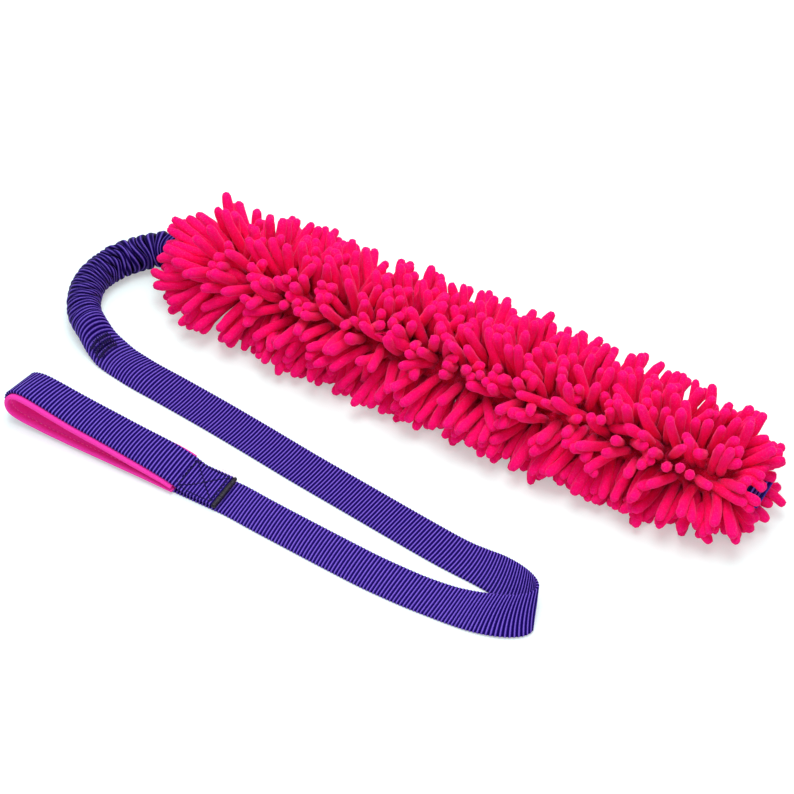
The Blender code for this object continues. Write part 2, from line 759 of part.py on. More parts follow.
def make_box_stitch(hand_loop):
    """The crossed box of thread that closes the hand loop, and the tape's dark heat-cut end."""
    line, _ = loop_line()
    top = line[-1][1] + WEBBING_THICKNESS / 2 + GAP
    half, half_width = BOX_STITCH_LENGTH / 2, BOX_STITCH_WIDTH / 2
    middle = Vector((CUT_END_X - BOX_STITCH_END_MARGIN - half, LOOP_CENTRE_Y, 0))
    outline = [(-half, -half_width), (half, -half_width), (half, half_width), (-half, half_width)]
    bm = plate(outline, top, BOX_STITCH_HEIGHT)
    bmesh.ops.translate(bm, vec=middle, verts=bm.verts)
    stitch = place_mesh("box_stitch", bm, "dark_purple_thread", hand_loop)
    bm = bmesh.new()
    for hole in box_stitch_holes(half, half_width):
        raise_plate(bm, hole, top - BOX_STITCH_HEIGHT, 3 * BOX_STITCH_HEIGHT)
    bmesh.ops.translate(bm, vec=middle, verts=bm.verts)
    holes = place_mesh("box_stitch_hole_cutter", bm, "dark_purple_thread", hand_loop)
    boolean(stitch, as_guide(holes), "DIFFERENCE")

    half = WEBBING_WIDTH / 2 + CUT_END_OVERHANG
    low = WEBBING_THICKNESS + GAP
    bm = block(
        (CUT_END_X + GAP, LOOP_CENTRE_Y - half, low),
        (CUT_END_X + GAP + CUT_END_LENGTH, LOOP_CENTRE_Y + half, top - GAP + CUT_END_OVERHANG),
    )
    place_mesh("webbing_cut_end", bm, "heat_cut_nylon", hand_loop)


def make_label(hand_loop):
    """The bare label, caught between the loop's two layers and showing past their far edge."""
    edge = LOOP_CENTRE_Y + WEBBING_WIDTH / 2
    low = WEBBING_THICKNESS + GAP
    end = CUT_END_X - GAP
    bm = block(
        (end - LABEL_LENGTH, edge - LABEL_INSIDE, low),
        (end, edge + LABEL_OUTSIDE, low + LABEL_THICKNESS),
    )
    place_mesh("label_tab", bm, "white_label_satin", hand_loop)


def stand_on_origin(root):
    """Moves the toy so that the origin is under the middle of all of it but the lead."""
    bpy.context.view_layer.update()
    graph = bpy.context.evaluated_depsgraph_get()
    lows, highs = [], []
    for item in bpy.context.scene.objects:
        if item.type == "EMPTY" or item.hide_render:
            continue
        if item.name in ("lead_far_strand", "lead_bend", "lead_near_strand"):
            continue
        shown = item.evaluated_get(graph)
        mesh = shown.to_mesh()
        points = np.array([shown.matrix_world @ vertex.co for vertex in mesh.vertices])
        lows.append(points.min(axis=0))
        highs.append(points.max(axis=0))
        shown.to_mesh_clear()
    low, high = np.min(lows, axis=0), np.max(highs, axis=0)
    root.location = Vector((-(low[0] + high[0]) / 2, -(low[1] + high[1]) / 2, 0))
    bpy.context.view_layer.update()


def build():
    clear_scene()
    root = axis_empty("toy", (0, 0, 0))
    swing_height = MOP_AXIS_HEIGHT
    bungee_front = axis_empty("bungee_front_slide", (0, 0, swing_height), root)
    mop = axis_empty("mop_swing_axis", (0, 0, swing_height), bungee_front)
    near_lead = axis_empty("lead_bend_axis", (*LEAD_BEND_AXIS, WEBBING_THICKNESS / 2), root)
    hinge = (LOOP_HINGE_X, LOOP_CENTRE_Y, WEBBING_THICKNESS)
    hand_loop = axis_empty("loop_hinge_axis", hinge, near_lead)
    make_lead(root, near_lead)
    make_gather(root)
    make_bungee(root)
    make_throat(bungee_front)
    make_mop(mop)
    make_core(mop)
    make_hand_loop(hand_loop)
    make_box_stitch(hand_loop)
    make_label(hand_loop)
    stand_on_origin(root)


build()
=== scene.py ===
import math

import bmesh
import bpy
import numpy as np
from mathutils import Matrix, Vector
from mathutils.kdtree import KDTree


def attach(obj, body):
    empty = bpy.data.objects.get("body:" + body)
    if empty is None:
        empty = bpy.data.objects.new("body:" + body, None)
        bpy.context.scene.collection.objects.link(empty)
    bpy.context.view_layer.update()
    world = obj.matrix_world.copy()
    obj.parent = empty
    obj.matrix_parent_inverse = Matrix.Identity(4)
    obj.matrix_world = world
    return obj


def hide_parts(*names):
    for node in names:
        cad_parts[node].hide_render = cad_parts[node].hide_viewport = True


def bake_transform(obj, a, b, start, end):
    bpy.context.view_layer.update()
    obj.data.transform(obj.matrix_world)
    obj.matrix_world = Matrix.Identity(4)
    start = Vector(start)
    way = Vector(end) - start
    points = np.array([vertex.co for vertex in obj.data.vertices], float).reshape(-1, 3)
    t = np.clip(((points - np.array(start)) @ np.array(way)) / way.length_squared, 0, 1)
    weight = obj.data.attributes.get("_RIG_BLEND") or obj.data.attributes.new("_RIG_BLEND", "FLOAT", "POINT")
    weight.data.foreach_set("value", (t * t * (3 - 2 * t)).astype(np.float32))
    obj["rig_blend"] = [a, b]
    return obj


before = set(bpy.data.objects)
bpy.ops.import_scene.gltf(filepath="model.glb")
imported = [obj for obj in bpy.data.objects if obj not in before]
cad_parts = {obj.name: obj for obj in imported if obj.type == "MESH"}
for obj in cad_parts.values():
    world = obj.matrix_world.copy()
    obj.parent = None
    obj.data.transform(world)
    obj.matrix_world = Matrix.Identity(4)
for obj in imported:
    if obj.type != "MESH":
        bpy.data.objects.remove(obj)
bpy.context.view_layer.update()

# Every length below is in millimetres of the layout, whose zero is the mop's throat on the floor.
LAYOUT_SHIFT = np.array((-158.004, 55.915, 0.0))
UP = np.array((0.0, 0.0, 1.0))

# ---- the camera, at the photograph's angle ----
CAMERA_TARGET = (-8.0, 34.9, 0.0)
CAMERA_REACH = (537.4, -930.7, 1185.3)
CAMERA_LENS = 120.6
CAMERA_SENSOR = 36.0

# ---- flat webbing ----
WEBBING_WIDTH = 25.0
WEBBING_THICKNESS = 2.0
RIB_PITCH = 2.2
STATIONS_PER_RIB = 6
RIB_DEPTH = 0.26
SELVEDGE_BITE = 0.35

# Middle of the lead (x, y), heading of its ribs and their lift off the floor, both in degrees.
LEAD_ROUTE = (
    (-8.5, -80.6, 79, 0), (9.2, -83.3, 81, 0), (31.5, -85.4, 83, 0), (63.5, -88.9, 83, 0),
    (96.5, -93.1, 83, 0), (131.5, -97.9, 83, 0), (166.5, -102.1, 83, 0), (201.5, -106.3, 83, 0),
    (231.3, -109.6, 84, 0), (245.7, -110.7, 87, 1), (256.8, -111.4, 91, 5), (267.1, -112.7, 94, 12),
    (278.4, -115.2, 98, 20), (288.5, -118.4, 103, 27), (295.8, -122.2, 108, 33),
    (299.9, -127.4, 110, 38), (298.3, -132.6, 109, 39), (293.6, -136.7, 104, 38),
    (287.6, -139.9, 95, 36), (280.9, -141.9, 88, 31), (272.3, -142.9, 86, 21),
    (261.6, -143.5, 87, 10), (249.4, -144.2, 88, 3), (230.2, -145.2, 89, 0),
    (204.8, -145.3, 91, 0), (179.6, -144.0, 92, 0), (154.3, -142.4, 93, 0), (129.6, -140.7, 92, 0),
    (114.8, -139.4, 91, 0), (108.0, -139.0, 90, 0), (104.3, -139.0, 90, 0),
)
LEAD_HANDOVER = 4.7  # the hand loop's own tape starts this far before the lead's last point
BEND_SPAN = (252.0, 364.0)  # distances along the lead between which it stands on its edge
TURN_BLEND = ((-5.33, -110.99, 0.0), (-5.74, -119.48, 0.0))

# ---- bungee ----
BUNGEE_ROUTE = (
    (-8.5, -80.6, 11.1), (-18.0, -78.8, 11.1), (-27.0, -76.2, 11.1), (-36.0, -72.2, 11.1),
    (-44.5, -66.4, 11.1), (-51.3, -58.0, 11.1), (-55.8, -48.5, 11.1), (-57.6, -38.5, 11.1),
    (-56.6, -28.5, 11.1), (-53.2, -18.5, 11.2), (-47.8, -9.8, 11.6), (-40.8, -2.4, 12.6),
    (-33.0, 2.6, 14.6), (-25.0, 4.2, 17.0), (-18.0, 2.6, 19.4), (-13.0, 0.8, 21.2),
    (-8.0, 0.0, 22.6),
)
# Distance along the gathered end, and its width, height and roundness there.
GATHER_SECTIONS = (
    (0.0, 25.0, 2.0, 0.0), (5.0, 25.0, 3.2, 0.12), (10.0, 24.6, 5.2, 0.35), (14.0, 23.6, 7.6, 0.6),
    (18.0, 22.6, 10.8, 0.8), (23.0, 21.6, 16.0, 0.95), (28.0, 20.8, 20.0, 1.0),
    (38.0, 20.4, 20.4, 1.0), (400.0, 20.4, 20.4, 1.0),
)
RIB_SWEEP = 3.4  # how far the drawn-in tape's ribs sweep towards the bungee
GATHER_END = 27.0
ELASTIC_RADIUS = 5.3
BUNGEE_BLEND = ((0.0, -70.0, 0.0), (0.0, 2.0, 0.0))

# ---- mop ----
MOP_HEIGHT = 26.0
MOP_START = 8.0
MOP_LENGTH = 356.0
MOP_SLICES = 8
BACKING_HALF_WIDTH = 17.0
BACKING_HALF_HEIGHT = 10.0
NOODLE_RADIUS = 3.05
NOODLE_LENGTH = 33.5
NOODLE_LINKS = 6
NOODLE_ROWS = 60
NOODLES_PER_ROW = 15
NOODLE_SEED = 41
SETTLE_ROUNDS = 36
PULL_BACK = 0.05  # share of the way back to its own line that a noodle springs in a round
DROOP = 0.16  # millimetres that a noodle's end sinks in a round
SPRING = 0.35  # share of each bend that straightens in a round
NUDGE = 0.42  # share of an overlap that each of two noodles gives way
SLEEVE_ROOM = 10.9  # how near the noodles come to the sleeve's middle line
# The folded tip stays in sight along this line, from its start and along its heading.
SIGHT_START = (370.5, -4.0, 29.0)
SIGHT_HEADING = (0.34, -0.58, 0.74)
SIGHT_ROOM = 2.3
THROAT_BLEND = ((-14.0, 0.0, 26.0), (12.0, 0.0, 26.0))

# ---- hand loop, in x and height at one y ----
LOOP_Y = -139.0
LOOP_LOWER = (
    (109.0, 0.0), (103.7, 0.0), (90.0, 0.0), (76.0, 0.0), (55.0, 0.0), (30.0, 0.0), (5.0, 0.0),
    (-9.0, 0.4), (-19.0, 1.2), (-28.2, 2.5), (-35.3, 4.7), (-39.7, 8.2),
)
LOOP_UPPER = (
    (-41.2, 3.6), (-39.6, 8.6), (-35.4, 12.0), (-28.6, 13.2), (-19.0, 12.0), (-8.0, 9.9),
    (6.0, 7.6), (24.0, 5.4), (42.0, 3.0), (58.0, 0.9), (68.0, -1.1), (75.0, -3.2),
)
LOOP_CLOSING = ((79.0, 0.24), (83.0, 0.02), (88.0, 0.0), (101.0, 0.0))
LOOP_CLOSED_HEIGHT = 10.6
LOOP_SEWN_HEIGHT = 4.0
# The upper tape rolls towards its near edge: x, and height gained per millimetre of width.
LOOP_ROLL = ((-40.0, 0.24), (-26.0, 0.22), (4.0, 0.13), (32.0, 0.10), (46.0, 0.06), (62.0, 0.0))
LOOP_SKEW = 0.07
LINING_END_X = 75.0
LINING_WIDTH = 29.0
LINING_NOSE_BULGE = 1.1  # how far the lining bulges past its own edge where it turns
BOX_STITCH_X = (77.6, 99.7)
BOX_STITCH_HALF_WIDTH = 10.6
LINING_DEPTHS = (1.2, 4.4)
LINING_PRESSED = 1.5  # how much thinner the lining is where the loop closes on it, and at its turn
LINING_SEAM = 0.72  # share of the half width at which the lining's two seams run
LOOP_BLEND = ((109.0, LOOP_Y, 2.0), (100.0, LOOP_Y, 2.0))
CUT_END_X = 102.4
CUT_END_HALF_SIZE = (1.55, 1.35)  # along the lead, and upwards
LABEL_X = 94.2
LABEL_WIDTH = 13.0
LABEL_LENGTH = 10.2


# ---------------------------------------------------------------- measures and curves

def to_frame(points):
    """Layout millimetres as metres of the frame."""
    return (np.asarray(points, float) + LAYOUT_SHIFT) / 1000.0


def smooth_rows(rows, per_span=12):
    """Points of a smooth curve through rows of any values."""
    rows = np.array(rows, float)
    slopes = (np.vstack([rows[1:], 2 * rows[-1] - rows[-2]])
              - np.vstack([2 * rows[0] - rows[1], rows[:-1]])) / 2
    t = np.linspace(0, 1, per_span, endpoint=False)[:, None]
    spans = [
        (2 * t**3 - 3 * t**2 + 1) * a + (t**3 - 2 * t**2 + t) * u
        + (3 * t**2 - 2 * t**3) * b + (t**3 - t**2) * v
        for a, b, u, v in zip(rows, rows[1:], slopes, slopes[1:])
    ]
    return np.vstack(spans + [rows[-1:]])


def distances(points):
    """Distance along a row of points, from the first."""
    return np.concatenate([[0.0], np.cumsum(np.linalg.norm(np.diff(points, axis=0), axis=1))])


def read_at(values, along, wanted):
    """Rows of values read at the wanted distances."""
    return np.stack([np.interp(wanted, along, column) for column in values.T], axis=1)


def unit(rows):
    """Rows scaled to a length of one."""
    return rows / np.maximum(np.linalg.norm(rows, axis=-1, keepdims=True), 1e-9)


def ease(value, low, high):
    """0 below low, 1 above high, and smooth in between."""
    t = np.clip((value - low) / (high - low), 0, 1)
    return t * t * (3 - 2 * t)


def rib_stations(length):
    """Distances along a webbing, the same few in every rib, from one gap to another."""
    ribs = max(1, round(length / RIB_PITCH))
    return np.linspace(0, length, ribs * STATIONS_PER_RIB + 1)


# ---------------------------------------------------------------- meshes

def new_piece(name, bm, material, smooth=True):
    """An object of the finished mesh, at the origin."""
    mesh = bpy.data.meshes.new(name)
    bm.to_mesh(mesh)
    bm.free()
    mesh.polygons.foreach_set("use_smooth", [smooth] * len(mesh.polygons))
    mesh.materials.append(material)
    piece = bpy.data.objects.new(name, mesh)
    bpy.context.scene.collection.objects.link(piece)
    return piece


def wrap_grid(bm, places, lengths, girth, crease_shade=None, closed_along=False):
    """Wraps a grid round rows of section points, welds its seam and closes its two ends.

    places are layout points, rows by section points. The grid's own map is kept as millimetres along and
    across, and crease, the painted shade of the folds, is kept as a value of each point.
    """
    rows, around = places.shape[:2]
    row_count = rows if closed_along else rows - 1
    bm.loops.layers.uv.new("UVMap")
    crease_shade_layer = bm.verts.layers.float.new("crease_shade")
    made = bmesh.ops.create_grid(
        bm, x_segments=row_count, y_segments=around, size=0.5, calc_uvs=True
    )["verts"]
    uv = bm.loops.layers.uv["UVMap"]
    spots = to_frame(places)
    steps = list(lengths) + [2 * lengths[-1] - lengths[-2]]
    for face in {face for vert in made for face in vert.link_faces}:
        for loop in face.loops:
            row = round((loop.vert.co.x + 0.5) * row_count)
            loop[uv].uv = (steps[row], loop[uv].uv.y * girth)
    for vert in made:
        row = round((vert.co.x + 0.5) * row_count) % rows
        column = round((vert.co.y + 0.5) * around) % around
        vert.co = spots[row, column]
        if crease_shade is not None:
            vert[crease_shade_layer] = crease_shade[row, column]
    bmesh.ops.remove_doubles(bm, verts=made, dist=1e-7)
    open_edges = [edge for edge in bm.edges if edge.is_boundary]
    if open_edges:
        bmesh.ops.holes_fill(bm, edges=open_edges, sides=0)
    bmesh.ops.recalc_face_normals(bm, faces=bm.faces)


def flat_section(across=13):
    """Shares of the half width and half thickness round a flat tape with rounded selvedges."""
    top = [(x, 1.0) for x in np.linspace(-0.97, 0.97, across)]
    edge = [(1.0, 0.5), (1.0, -0.5)]
    return np.array(top + edge + [(-x, -y) for x, y in top] + [(-x, -y) for x, y in edge])


def tape_places(middle, across, normal, stations, bow=0.0, section=None,
                width=WEBBING_WIDTH, thickness=WEBBING_THICKNESS, rib_depth=RIB_DEPTH):
    """Section points of a ribbed tape; bow moves the middle of each rib along the tape."""
    section = flat_section() if section is None else section
    forward = unit(np.gradient(middle, axis=0))
    gap = 0.5 + 0.5 * np.cos(2 * np.pi * stations / RIB_PITCH)
    wide = width / 2 - SELVEDGE_BITE * gap * (rib_depth > 0)
    thick = thickness / 2 * (1 - rib_depth * gap)
    bow = np.broadcast_to(bow, stations.shape)[:, None] * (1 - section[None, :, 0] ** 2)
    return (
        middle[:, None]
        + across[:, None] * (section[None, :, :1] * wide[:, None, None])
        + normal[:, None] * (section[None, :, 1:] * thick[:, None, None])
        + forward[:, None] * bow[..., None]
    )


def make_tape(name, middle, across, stations, material, bow=0.0, **sizes):
    """A ribbed tape as one closed mesh. middle and across have a row for each station."""
    forward = unit(np.gradient(middle, axis=0))
    normal = unit(np.cross(forward, across))
    # The ribs are stretched a little so that whole ones fill the tape.
    whole = stations * max(1, round(stations[-1] / RIB_PITCH)) * RIB_PITCH / stations[-1]
    bm = bmesh.new()
    places = tape_places(middle, across, normal, whole, bow, **sizes)
    wrap_grid(bm, places, whole, 2 * sizes.get("width", WEBBING_WIDTH))
    return new_piece(name, bm, material)


def add_stitch(bm, centre, along, across, length, thickness, sides=6):
    """One short float of thread: a small long ball."""
    along = Vector(along).normalized()
    upright = along.cross(Vector(across)).normalized()
    across = upright.cross(along)
    axes = Matrix((across * thickness / 2, upright * thickness / 2, along * length / 2))
    axes.transpose()
    matrix = Matrix.Translation(Vector(to_frame(centre))) @ (axes * 0.001).to_4x4()
    bmesh.ops.create_uvsphere(bm, u_segments=sides, v_segments=5, radius=1.0, matrix=matrix)


# ---------------------------------------------------------------- materials

def colour(code):
    """A hex sRGB colour as linear values."""
    parts = [int(code[i:i + 2], 16) / 255 for i in (1, 3, 5)]
    linear = [p / 12.92 if p <= 0.04045 else ((p + 0.055) / 1.055) ** 2.4 for p in parts]
    return (*linear, 1.0)


def fill(tree, node, inputs):
    """Fills a node's inputs with values or links."""
    for key, value in dict(inputs).items():
        if isinstance(value, bpy.types.NodeSocket):
            tree.links.new(value, node.inputs[key])
        else:
            node.inputs[key].default_value = value


def add(tree, kind, inputs=(), **settings):
    """Adds a node with its settings, and fills its inputs."""
    node = tree.nodes.new(kind)
    for name, value in settings.items():
        setattr(node, name, value)
    fill(tree, node, inputs)
    return node


def new_material(name):
    """An empty material, its node tree and its shader, which is wired to the output."""
    material = bpy.data.materials.new(name)
    material.use_nodes = True
    tree = material.node_tree
    tree.nodes.clear()
    shader = add(tree, "ShaderNodeBsdfPrincipled")
    add(tree, "ShaderNodeOutputMaterial", {"Surface": shader.outputs[0]})
    return material, tree, shader


def ribbed_nylon(name, body, crest_highlight, gap, crease_shade, crease_shade_power):
    """Woven nylon tape with weft ribs: the crest colour is a painted highlight along each rib's top, and the
    gap colour is painted shade between the ribs.
    """
    material, tree, shader = new_material(name)
    uv = add(tree, "ShaderNodeUVMap", uv_map="UVMap").outputs[0]
    axes = add(tree, "ShaderNodeSeparateXYZ", {0: uv})
    ribs = add(tree, "ShaderNodeMath", {0: axes.outputs[0], 1: RIB_PITCH}, operation="DIVIDE")
    # The weft yarn's filaments are 0.02 mm; they are drawn as streaks 0.4 mm wide to show.
    scaled = [
        add(tree, "ShaderNodeMath", {0: axes.outputs[i], 1: 1 / size},
            operation="MULTIPLY").outputs[0]
        for i, size in enumerate((0.8, 0.4))
    ]
    streak_place = add(tree, "ShaderNodeCombineXYZ", {0: scaled[0], 1: scaled[1]})
    streaks = add(tree, "ShaderNodeTexNoise", {"Vector": streak_place.outputs[0], "Scale": 1.0,
                                               "Detail": 2.0, "Roughness": 0.6})
    wander = add(tree, "ShaderNodeMath", {0: streaks.outputs[0], 1: 0.16, 2: ribs.outputs[0]},
                 operation="MULTIPLY_ADD")
    phase = add(tree, "ShaderNodeMath", {0: wander.outputs[0]}, operation="FRACT")
    # The ramp paints each rib: painted shade in the gaps, the body colour on the flanks, and a painted
    # highlight a little past the crest's middle, as if lit from one side.
    ramp = add(tree, "ShaderNodeValToRGB", {0: phase.outputs[0]})
    stops = ramp.color_ramp.elements
    stops[0].position, stops[0].color = 0.0, colour(gap)
    stops[1].position, stops[1].color = 1.0, colour(gap)
    for position, code in ((0.20, gap), (0.34, body), (0.56, crest_highlight), (0.70, body), (0.82, gap)):
        stop = stops.new(position)
        stop.color = colour(code)
    shade = add(tree, "ShaderNodeMapRange", {"Value": streaks.outputs[0], "From Min": 0.3,
                                             "From Max": 0.7, "To Min": 0.82, "To Max": 1.15})
    toned = add(tree, "ShaderNodeMix", {0: 1.0, 6: ramp.outputs[0], 7: shade.outputs[0]},
                data_type="RGBA", blend_type="MULTIPLY").outputs[2]
    # The crease value pulls the colour towards the crease colour: painted shade in the valleys of the folds.
    depth = add(tree, "ShaderNodeAttribute", attribute_name="crease_shade").outputs["Fac"]
    deep = add(tree, "ShaderNodeMath", {0: depth, 1: crease_shade_power}, operation="POWER").outputs[0]
    base = add(tree, "ShaderNodeMix", {0: deep, 6: toned, 7: colour(crease_shade)},
               data_type="RGBA").outputs[2]
    bump = add(tree, "ShaderNodeBump", {"Height": streaks.outputs[0], "Strength": 0.25,
                                        "Distance": 0.0002})
    fill(tree, shader, {"Base Color": base, "Roughness": 0.5, "IOR": 1.53,
                        "Specular IOR Level": 0.03, "Normal": bump.outputs[0]})
    return material


def chenille():
    """Microfibre chenille: matt saturated pile whose fuzz catches a paler rim of light."""
    material, tree, shader = new_material("pink microfibre chenille")
    place = add(tree, "ShaderNodeTexCoord").outputs["Object"]
    # Pile fibres are 0.03 mm; their tufts are drawn 0.7 mm across, the finest that shows.
    tufts = add(tree, "ShaderNodeTexNoise", {"Vector": place, "Scale": 1000 / 0.7, "Detail": 2.0,
                                             "Roughness": 0.7})
    clumps = add(tree, "ShaderNodeTexNoise", {"Vector": place, "Scale": 1000 / 4.0, "Detail": 1.0})
    along = add(tree, "ShaderNodeAttribute", attribute_name="pile_along").outputs["Fac"]
    shade = add(tree, "ShaderNodeAttribute", attribute_name="pile_shade").outputs["Fac"]
    # Darker towards the root: painted shade deep in the pile, where the noodles hide each other from the
    # light.
    ramp = add(tree, "ShaderNodeValToRGB", {0: along})
    stops = ramp.color_ramp.elements
    stops[0].position, stops[0].color = 0.1, colour("#D40030")
    stops[1].position, stops[1].color = 1.0, colour("#FF0478")
    middle = stops.new(0.4)
    middle.color = colour("#FF005A")
    varied = add(tree, "ShaderNodeMix", {0: shade, 6: ramp.outputs[0], 7: colour("#FF006E")},
                 data_type="RGBA").outputs[2]
    speckle = add(tree, "ShaderNodeMapRange", {"Value": tufts.outputs[0], "From Min": 0.52,
                                               "From Max": 0.72, "To Max": 0.75})
    fuzzed = add(tree, "ShaderNodeMix", {0: speckle.outputs[0], 6: varied, 7: colour("#FF4496")},
                 data_type="RGBA").outputs[2]
    patch = add(tree, "ShaderNodeMapRange", {"Value": clumps.outputs[0], "From Min": 0.3,
                                             "From Max": 0.7, "To Min": 0.94, "To Max": 1.06})
    base = add(tree, "ShaderNodeMix", {0: 1.0, 6: fuzzed, 7: patch.outputs[0]},
               data_type="RGBA", blend_type="MULTIPLY").outputs[2]
    bump = add(tree, "ShaderNodeBump", {"Height": tufts.outputs[0], "Strength": 0.6,
                                        "Distance": 0.0006})
    fill(tree, shader, {"Base Color": base, "Roughness": 0.92, "IOR": 1.4,
                        "Specular IOR Level": 0.1, "Sheen Weight": 0.5, "Sheen Roughness": 0.35,
                        "Sheen Tint": colour("#FF7AB8"), "Normal": bump.outputs[0]})
    return material


def grained(name, code, light, size, noise, flecks, bump, finish, rough=None):
    """A colour with lighter flecks, size mm wide, that stand up a little.

    flecks are the noise values where they start and are whole, and their strength; bump is their
    strength and height; rough is the least and most roughness, where it varies with the flecks.
    """
    material, tree, shader = new_material(name)
    place = add(tree, "ShaderNodeTexCoord").outputs["Object"]
    grain = add(tree, "ShaderNodeTexNoise", {"Vector": place, "Scale": 1000 / size, **noise})
    grain = grain.outputs[0]
    share = add(tree, "ShaderNodeMapRange", {"Value": grain, "From Min": flecks[0],
                                             "From Max": flecks[1], "To Max": flecks[2]})
    base = add(tree, "ShaderNodeMix", {0: share.outputs[0], 6: colour(code), 7: colour(light)},
               data_type="RGBA").outputs[2]
    relief = add(tree, "ShaderNodeBump", {"Height": grain, "Strength": bump[0],
                                          "Distance": bump[1]})
    fill(tree, shader, {"Base Color": base, "Normal": relief.outputs[0], **finish})
    if rough:
        spread = add(tree, "ShaderNodeMapRange", {"Value": grain, "To Min": rough[0],
                                                  "To Max": rough[1]})
        fill(tree, shader, {"Roughness": spread.outputs[0]})
    return material


def soft_fabric(name, code, light, sheen, fleck_size):
    """Brushed knit: an even matt colour with a short nap and a fine grain."""
    return grained(name, code, light, fleck_size, {"Detail": 3.0, "Roughness": 0.65},
                   (0.35, 0.75, 0.5), (0.3, 0.0002),
                   {"Roughness": 0.85, "IOR": 1.45, "Specular IOR Level": 0.3,
                    "Sheen Weight": sheen, "Sheen Roughness": 0.4, "Sheen Tint": colour(light)})


def polyester_thread(name, code, light):
    """Twisted polyester thread: fine and slightly glossy, with paler strands in it."""
    return grained(name, code, light, 0.5, {"Detail": 2.0}, (0.45, 0.7, 0.7), (0.3, 0.0001),
                   {"Roughness": 0.5, "IOR": 1.55, "Specular IOR Level": 0.15})


def singed_nylon():
    """Nylon melted by a hot knife: dark, lumpy and a little glossy, with pale scorched spots."""
    return grained("heat cut nylon", "#0F0B1C", "#342C52", 1.2, {"Detail": 3.0},
                   (0.45, 0.75, 0.6), (0.6, 0.0004), {"IOR": 1.53, "Specular IOR Level": 0.3},
                   rough=(0.3, 0.6))


def floor_paper():
    """Matt white studio paper, lifted to white for the eye only, so that shadows stay.

    For the eye it is also a little cool, which evens out the pink light that the mop throws on it.
    """
    material, tree, shader = new_material("white studio paper")
    place = add(tree, "ShaderNodeTexCoord").outputs["Object"]
    grain = add(tree, "ShaderNodeTexNoise", {"Vector": place, "Scale": 90.0, "Detail": 2.0})
    seen = add(tree, "ShaderNodeLightPath").outputs["Is Camera Ray"]
    paper = add(tree, "ShaderNodeMix",
                {0: grain.outputs[0], 6: colour("#F7F7F7"), 7: colour("#FAFAFA")},
                data_type="RGBA").outputs[2]
    base = add(tree, "ShaderNodeMix", {0: seen, 6: paper, 7: colour("#CADFDD")},
               data_type="RGBA").outputs[2]
    lift = add(tree, "ShaderNodeMath", {0: seen, 1: 0.4}, operation="MULTIPLY").outputs[0]
    fill(tree, shader, {"Base Color": base, "Roughness": 0.9, "Specular IOR Level": 0.1,
                        "Emission Color": colour("#FFFFFF"), "Emission Strength": lift})
    return material


def make_materials():
    """Every finish of the toy, by a short name."""
    return {
        # Webbing colours: body, painted highlight on the rib crests, painted shade in the rib gaps, painted
        # shade in the fold creases, and how tightly that shade keeps to the creases. The ruched copy is a
        # touch darker.
        "webbing": ribbed_nylon("purple nylon webbing", "#40269C", "#8C6EDE", "#100052",
                                "#0C0030", 2.0),
        "ruched": ribbed_nylon("purple ruched webbing", "#3E2796", "#8066D2", "#10004C",
                               "#050014", 1.0),
        "chenille": chenille(),
        "lining": soft_fabric("pink padded lycra", "#F62CAC", "#FF58C4", 0.25, 0.5),
        "hem": soft_fabric("pink hem fabric", "#D8085C", "#F52A80", 0.3, 0.6),
        "backing": soft_fabric("pink pile backing", "#B00034", "#D00850", 0.1, 0.8),
        "pink thread": polyester_thread("pink sewing thread", "#FF5CB6", "#FF9AD2"),
        "dark thread": polyester_thread("dark purple sewing thread", "#0E0734", "#2C1A70"),
        "cut end": singed_nylon(),
        "label": soft_fabric("white satin label", "#E9E9EC", "#FFFFFF", 0.1, 0.4),
        "elastic": soft_fabric("white braided elastic", "#E6E4DC", "#FAF8F2", 0.05, 0.9),
        "floor": floor_paper(),
    }


# ---------------------------------------------------------------- lead

def lead_line():
    """Middle, rib direction and distance along the lead."""
    rows = smooth_rows(LEAD_ROUTE)
    heading, lift = np.radians(rows[:, 2]), np.radians(np.maximum(rows[:, 3], 0.0))
    across = np.stack(
        [np.cos(heading) * np.cos(lift), np.sin(heading) * np.cos(lift), np.sin(lift)], axis=1)
    height = WEBBING_THICKNESS / 2 + np.sin(lift) * WEBBING_WIDTH / 2
    middle = np.column_stack([rows[:, :2], height])
    return middle, across, distances(middle)


def make_lead(finish):
    """The flat lead, one free tape from the bungee to the hand loop."""
    middle, across, along = lead_line()
    stations = rib_stations(along[-1] - LEAD_HANDOVER)
    middle, across = read_at(middle, along, stations), unit(read_at(across, along, stations))
    start, end = BEND_SPAN
    bow = 0.5 * np.sin(stations / 61.0) + 1.6 * ease(stations, start - 40, start + 25) * (
        1 - ease(stations, end - 40, end + 10))
    bow -= RIB_SWEEP * (1 - ease(stations, 4, 48))
    fade = 1 - ease(stations, stations[-1] - 12, stations[-1])
    lead = make_tape("lead_webbing", middle, across, stations, finish["webbing"], bow * fade)
    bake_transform(lead, "lead", "near_lead", *(to_frame(p) for p in TURN_BLEND))
    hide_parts("lead_far_strand", "lead_bend", "lead_near_strand")


# ---------------------------------------------------------------- bungee

def bungee_line(wanted):
    """Middle, forward, left and up directions of the bungee at distances along it."""
    points = smooth_rows(BUNGEE_ROUTE)
    along = distances(points)
    wanted = np.asarray(wanted, float)
    middle = read_at(points, along, np.clip(wanted, 0, along[-1]))
    forward = unit(read_at(points, along, np.clip(wanted + 1.5, 0, along[-1]))
                   - read_at(points, along, np.clip(wanted - 1.5, 0, along[-1])))
    left = unit(np.cross(UP, forward))
    return middle, forward, left, np.cross(forward, left)


def bungee_length():
    """Length of the bungee, from the flat lead to its end in the mop."""
    return distances(smooth_rows(BUNGEE_ROUTE))[-1]


